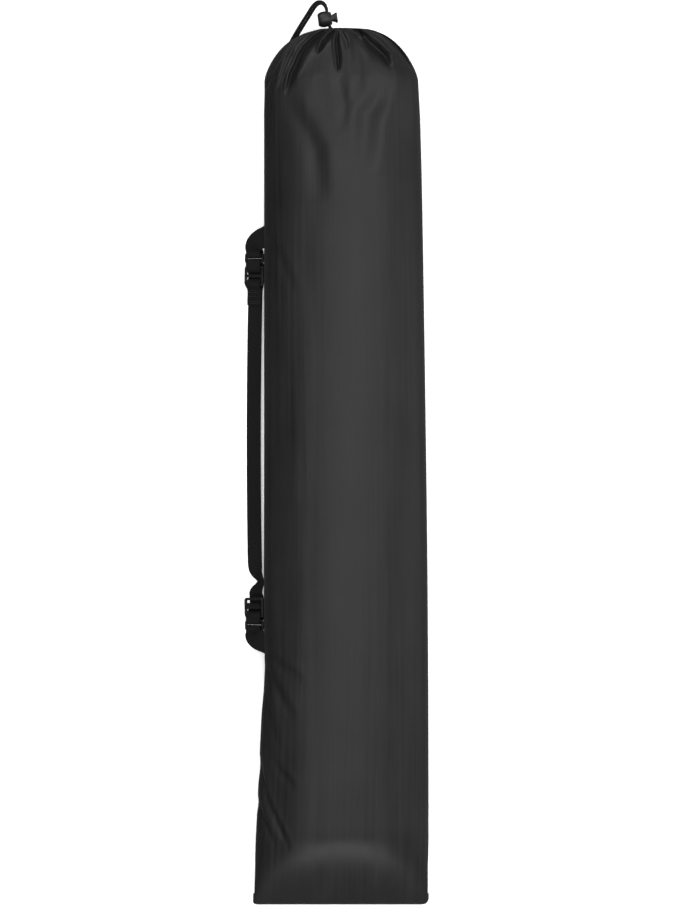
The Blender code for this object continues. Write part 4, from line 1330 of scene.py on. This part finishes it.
# %% Bottom hem
TAPE_DEPTH, TAPE_THICKNESS, TAPE_SIDES = 0.0052, 0.0030, 20
CORNER_STATIONS = (-0.4870, -0.4900, -0.4930, -0.4955, -0.4970, -0.4982, -0.4991)


def hem_route():
    """The bottom edge's outline from the left side round both corners to the right side."""
    left_side = [(side_edges(y)[0], y) for y in CORNER_STATIONS]
    right_side = [(side_edges(y)[1], y) for y in reversed(CORNER_STATIONS)]
    low, high = side_edges(BOTTOM)
    bottom = [(x, -0.49985) for x in np.linspace(low + 0.001, high - 0.001, 24)]
    return smooth_line([(x, y, 0.0100) for x, y in left_side + bottom + right_side], 0.0015)


def hem_tape(name, route):
    rows = []
    aheads = np.gradient(route, axis=0)
    for place, ahead in zip(route, aheads):
        inward = np.array([-ahead[1], ahead[0], 0]) / np.linalg.norm(ahead[:2])
        row = []
        for k in range(TAPE_SIDES):
            turn = math.tau * k / TAPE_SIDES
            across = TAPE_DEPTH / 2 * signed_power(math.cos(turn), 0.5)
            through = TAPE_THICKNESS / 2 * signed_power(math.sin(turn), 0.6)
            row.append(place + inward * (TAPE_DEPTH / 2 + across) + np.array([0, 0, through]))
        rows.append(row)
    return grid_piece(name, rows, nylon, capped=True)


hem_edge = hem_route()
tape = hem_tape("bottom_hem_tape", hem_edge)
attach(tape, "bag")
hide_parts("bottom_seam_binding")
print("hem tape has", len(tape.data.polygons), "faces")

# %% Hem stitches
STITCH_INSET, STITCH_LENGTH = 0.0034, 0.0021
tape_top = np.array([0, 0, TAPE_THICKNESS / 2])
hem_stitches = []
for a, b in zip(hem_edge[6:-6:2], hem_edge[8:-4:2]):
    ahead = (b - a) / np.linalg.norm(b - a)
    start = a + np.array([-ahead[1], ahead[0], 0]) * STITCH_INSET + tape_top
    hem_stitches.append((start, start + ahead * STITCH_LENGTH, (0, 0, 1)))
stitch_rows("bottom_hem_stitching", hem_stitches, "bag")

# %% [markdown]
# ## The cord lock
#
# The lock is a barrel with a hole across it and a spring-loaded plunger whose head stands out on
# the right. Both are turned shapes, so each is a profile spun round the lock's axis, and the hole
# for the cords is cut afterwards. Boxes under a subdivision surface would be rounder, but they
# wouldn't keep the bore and the plunger to size.

# %% Turned pieces
LOCK_CENTRE = MOUTH + np.array([-0.0210, 0.0185, 0.0])
LOCK_TILT = math.radians(8)
LOCK_PLACE = (
    Matrix.Translation(Vector(LOCK_CENTRE)) @ Matrix.Rotation(LOCK_TILT, 4, "Z")
    @ Matrix.Rotation(math.pi / 2, 4, "Y")
)


def turned_piece(name, profile, material, steps=64):
    """A profile of (radius, height) pairs spun about Z, with its ends closed at the axis."""
    turns = np.linspace(0, math.tau, steps, endpoint=False)
    rows = [[(r * math.cos(t), r * math.sin(t), h) for t in turns] for r, h in profile]
    made = grid_piece(name, rows, material)
    weld_seam(made)
    made.data.set_sharp_from_angle(angle=math.radians(40))
    return made


def fillet(profile, radius=0.0004):
    """Rounds the corners of a profile by two extra points at each."""
    profile = [np.array(p, float) for p in profile]
    found = [profile[0]]
    for a, b, c in zip(profile, profile[1:], profile[2:]):
        into, out = a - b, c - b
        cut = min(radius, np.linalg.norm(into) / 2.2, np.linalg.norm(out) / 2.2)
        p = b + into / max(1e-9, np.linalg.norm(into)) * cut
        q = b + out / max(1e-9, np.linalg.norm(out)) * cut
        for t in (0.0, 0.25, 0.5, 0.75, 1.0):
            found.append((1 - t) ** 2 * p + 2 * t * (1 - t) * b + t**2 * q)
    found.append(profile[-1])
    return [tuple(p) for p in found]


# %% Barrel and plunger
AXIS = 1e-7  # a radius near zero, whose points weld into one
BARREL_BOTTOM, BARREL_TOP, BARREL_RADIUS = -0.0078, 0.0080, 0.0090
BORE, BORE_BOTTOM = 0.0049, -0.0060
STEM_RADIUS, STEM_BOTTOM = 0.0046, -0.0012
HEAD_RADIUS, HEAD_THICKNESS = 0.0058, 0.0028
TRAVEL = 0.0034
bulge = []
for k in range(15):
    h = BARREL_BOTTOM + (BARREL_TOP - 0.0012 - BARREL_BOTTOM) * k / 14
    bulge.append((BARREL_RADIUS * (1 - abs(h / 0.0096) ** 2.5) ** 0.4, h))
mouth_profile = [
    bulge[-1], (BORE + 0.0014, BARREL_TOP), (BORE, BARREL_TOP),
    (BORE, BORE_BOTTOM), (AXIS, BORE_BOTTOM),
]
barrel_profile = fillet([(AXIS, BARREL_BOTTOM), bulge[0]]) + bulge[1:-1]
barrel_profile += fillet(mouth_profile, 0.0005)
barrel = turned_piece("cord_lock_barrel", barrel_profile, lock_plastic)
barrel.matrix_world = LOCK_PLACE
head = BARREL_TOP + TRAVEL + 0.0003
rim = head + HEAD_THICKNESS
plunger_profile = fillet([
    (AXIS, STEM_BOTTOM), (STEM_RADIUS, STEM_BOTTOM), (STEM_RADIUS, head - 0.0002),
    (HEAD_RADIUS, head), (HEAD_RADIUS, rim), (0.0040, rim), (0.0034, rim - 0.0006),
    (AXIS, rim - 0.0006),
], 0.0006)
plunger = turned_piece("cord_lock_plunger_head", plunger_profile, lock_plastic)
plunger.matrix_world = LOCK_PLACE
print("lock's barrel has", len(barrel.data.polygons), "faces")

# %% Cord hole
HOLE_MIDDLE, HOLE_HALF, HOLE_WIDTH, HOLE_CORNER_SIZE = 0.0035, 0.0023, 0.0083, 0.0012


def cut_hole(piece, low, high):
    """Cuts the cord hole across a turned piece. Low and high are along the lock's axis."""
    work = bmesh.new()
    bmesh.ops.create_cube(work, size=1.0)
    bmesh.ops.scale(work, vec=(HOLE_WIDTH, 0.030, high - low), verts=work.verts)
    bmesh.ops.translate(work, vec=(0, 0, (low + high) / 2), verts=work.verts)
    bmesh.ops.bevel(work, geom=work.edges, offset=HOLE_CORNER_SIZE, segments=3, affect="EDGES")
    mesh = bpy.data.meshes.new("hole_tool")
    work.to_mesh(mesh)
    work.free()
    tool = bpy.data.objects.new("hole_tool", mesh)
    scene.collection.objects.link(tool)
    tool.matrix_world = piece.matrix_world
    bpy.context.view_layer.update()
    cutter = piece.modifiers.new("hole", "BOOLEAN")
    cutter.operation = "DIFFERENCE"
    cutter.object = tool
    apply_modifiers(piece)
    bpy.data.objects.remove(tool)
    piece.data.shade_smooth()
    piece.data.set_sharp_from_angle(angle=math.radians(35))


hole_low, hole_high = HOLE_MIDDLE - HOLE_HALF, HOLE_MIDDLE + HOLE_HALF
cut_hole(barrel, hole_low, hole_high)
cut_hole(plunger, hole_low, hole_high + TRAVEL)  # room for the cords when it is pressed
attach(barrel, "lock")
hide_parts("cord_lock_body")
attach(plunger, "plunger")
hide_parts("cord_lock_plunger")
print("lock with its hole has", len(barrel.data.polygons), "faces")

# %% [markdown]
# ## The drawstring's tails
#
# Two strands of braided cord leave the mouth, pass through the lock one above the other, bend
# over behind it, lie down the left shoulder side by side and end on the floor in one knot. A rope
# simulation would find its own way down, but the cord has to lie where the hard model has it, so
# its route is given. The stretch between the mouth and the lock is held at both ends, so it is a
# piece of its own.

# %% Cord routes
CORD = 0.0034
PITCH = 0.0034
CROWN_Y = 0.5
# The middle between the two strands, with Y from the crown, and how much they are stacked: 1 for
# one above the other, 0 for side by side.
TAIL_ROUTE = (
    ((-0.0095, -0.0025, 0.0400), 1.0), ((-0.0118, -0.0008, 0.0400), 1.0),
    ((-0.0141, 0.0030, 0.0400), 1.0), ((-0.0155, 0.0105, 0.0400), 1.0),
    ((-0.0166, 0.0180, 0.0400), 1.0), ((-0.0178, 0.0236, 0.0398), 0.85),
    ((-0.0213, 0.0283, 0.0392), 0.6), ((-0.0268, 0.0288, 0.0378), 0.3),
    ((-0.0318, 0.0246, 0.0355), 0.1), ((-0.0368, 0.0172, 0.0315), 0.0),
    ((-0.0432, 0.0080, 0.0252), 0.0), ((-0.0500, -0.0020, 0.0170), 0.0),
    ((-0.0556, -0.0110, 0.0090), 0.0), ((-0.0604, -0.0205, 0.0038), 0.0),
    ((-0.0660, -0.0320, 0.0021), 0.0), ((-0.0717, -0.0470, 0.0020), 0.0),
    ((-0.0757, -0.0660, 0.0020), 0.0), ((-0.0776, -0.0870, 0.0021), 0.0),
    ((-0.0800, -0.1050, 0.0024), 0.0), ((-0.0822, -0.1187, 0.0040), 0.0),
)


def strand_route(side):
    """The route of one strand. Side is 1 for the front one and -1 for the back one."""
    places = np.array([p for p, _ in TAIL_ROUTE]) + np.array([0, CROWN_Y, 0])
    found = []
    for k, (_, stacked) in enumerate(TAIL_ROUTE):
        ahead = places[min(k + 1, len(places) - 1)] - places[max(k - 1, 0)]
        across = np.array([-ahead[1], ahead[0], 0]) / np.linalg.norm(ahead[:2])
        lean = stacked * math.pi / 2
        offset = across * math.cos(lean) + np.array([0, 0, 1]) * math.sin(lean)
        found.append(places[k] + offset * side * PITCH / 2)
    return np.array(found)


def tube(name, line, diameter, sides=14, material=braid):
    """A round cord round a line of points, with its section carried along without twisting."""
    aheads = np.gradient(line, axis=0)
    aheads /= np.linalg.norm(aheads, axis=1)[:, None]
    up = np.array([0, 0, 1.0])
    turns = np.linspace(0, math.tau, sides, endpoint=False)
    rows = []
    for place, ahead in zip(line, aheads):
        up = up - ahead * (up @ ahead)
        up = up / np.linalg.norm(up)
        side = np.cross(ahead, up)
        spokes = [side * math.cos(t) + up * math.sin(t) for t in turns]
        rows.append([place + spoke * diameter / 2 for spoke in spokes])
    return grid_piece(name, rows, material, capped=True)


def line_length(line):
    return float(np.linalg.norm(np.diff(line, axis=0), axis=1).sum())


for side in (1, -1):
    print("strand", side, "is", round(line_length(strand_route(side)), 3), "m long")

# %% [markdown]
# Behind the plunger sits a small steel spring. It can't be seen, but it shortens when the plunger
# is pressed, so it is wound as its own piece.

# %% Spring
COIL_TURNS, COIL_RADIUS, COIL_LENGTH, WIRE = 3.5, 0.0029, 0.0041, 0.0005
coil = []
for t in np.linspace(0, COIL_TURNS, 85):
    x, y = COIL_RADIUS * math.cos(t * math.tau), COIL_RADIUS * math.sin(t * math.tau)
    coil.append(LOCK_PLACE @ Vector((x, y, -0.0056 + COIL_LENGTH * t / COIL_TURNS)))
spring = tube("lock_spring_coil", np.array(coil), WIRE, 8, spike_steel)
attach(spring, "lock")
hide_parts("cord_lock_spring")
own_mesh(spring)
print("spring has", COIL_TURNS, "turns")

# %% [markdown]
# The knot joins the two ends, so that the lock can't slide off. A real overhand knot is too small
# here to follow strand by strand, so it is a cord wound round itself into an egg.

# %% Knot
KNOT = np.array([-0.0830, CROWN_Y - 0.1258, 0.0045])


def knot_line():
    """A small lump: a cord wound two and a half times round itself, squeezed into an egg."""
    t = np.linspace(0, 1, 90)
    a = t * math.tau * 2.5
    x = 0.0026 * np.cos(a) * (1 + 0.12 * np.sin(3 * a))
    z = 0.0024 * np.sin(a) * (1 + 0.12 * np.cos(2 * a))
    y = (t - 0.5) * 0.0088 + 0.0008 * np.sin(2 * a)
    return np.stack([x, y, z], axis=1) + KNOT


knot = tube("tail_knot", knot_line(), CORD * 0.92, 12)
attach(knot, "bag")
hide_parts("drawstring_knot")
print("knot is", round(knot.dimensions.y * MM, 1), "mm long")

# %% [markdown]
# Each strand is cut in two near the lock's middle: the neck, which is held at both ends, and the
# free tail.

# %% Tails
NECK_LENGTH = 0.0132
STRANDS = (("front_tail", "drawstring_tail_front", 1), ("back_tail", "drawstring_tail_back", -1))
for name, node, side in STRANDS:
    line = smooth_line(strand_route(side), 0.0012)
    middle = int(np.argmin(np.linalg.norm(line - line[0], axis=1) < NECK_LENGTH))
    free = line[middle:]
    neck = tube(name + "_neck", line[: middle + 1], CORD)
    tail = tube(name, free, CORD)
    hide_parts(node)
    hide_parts(node)
    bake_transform(neck)
    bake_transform(tail)
    print(name, "is", round(line_length(free), 3), "m long past the lock")
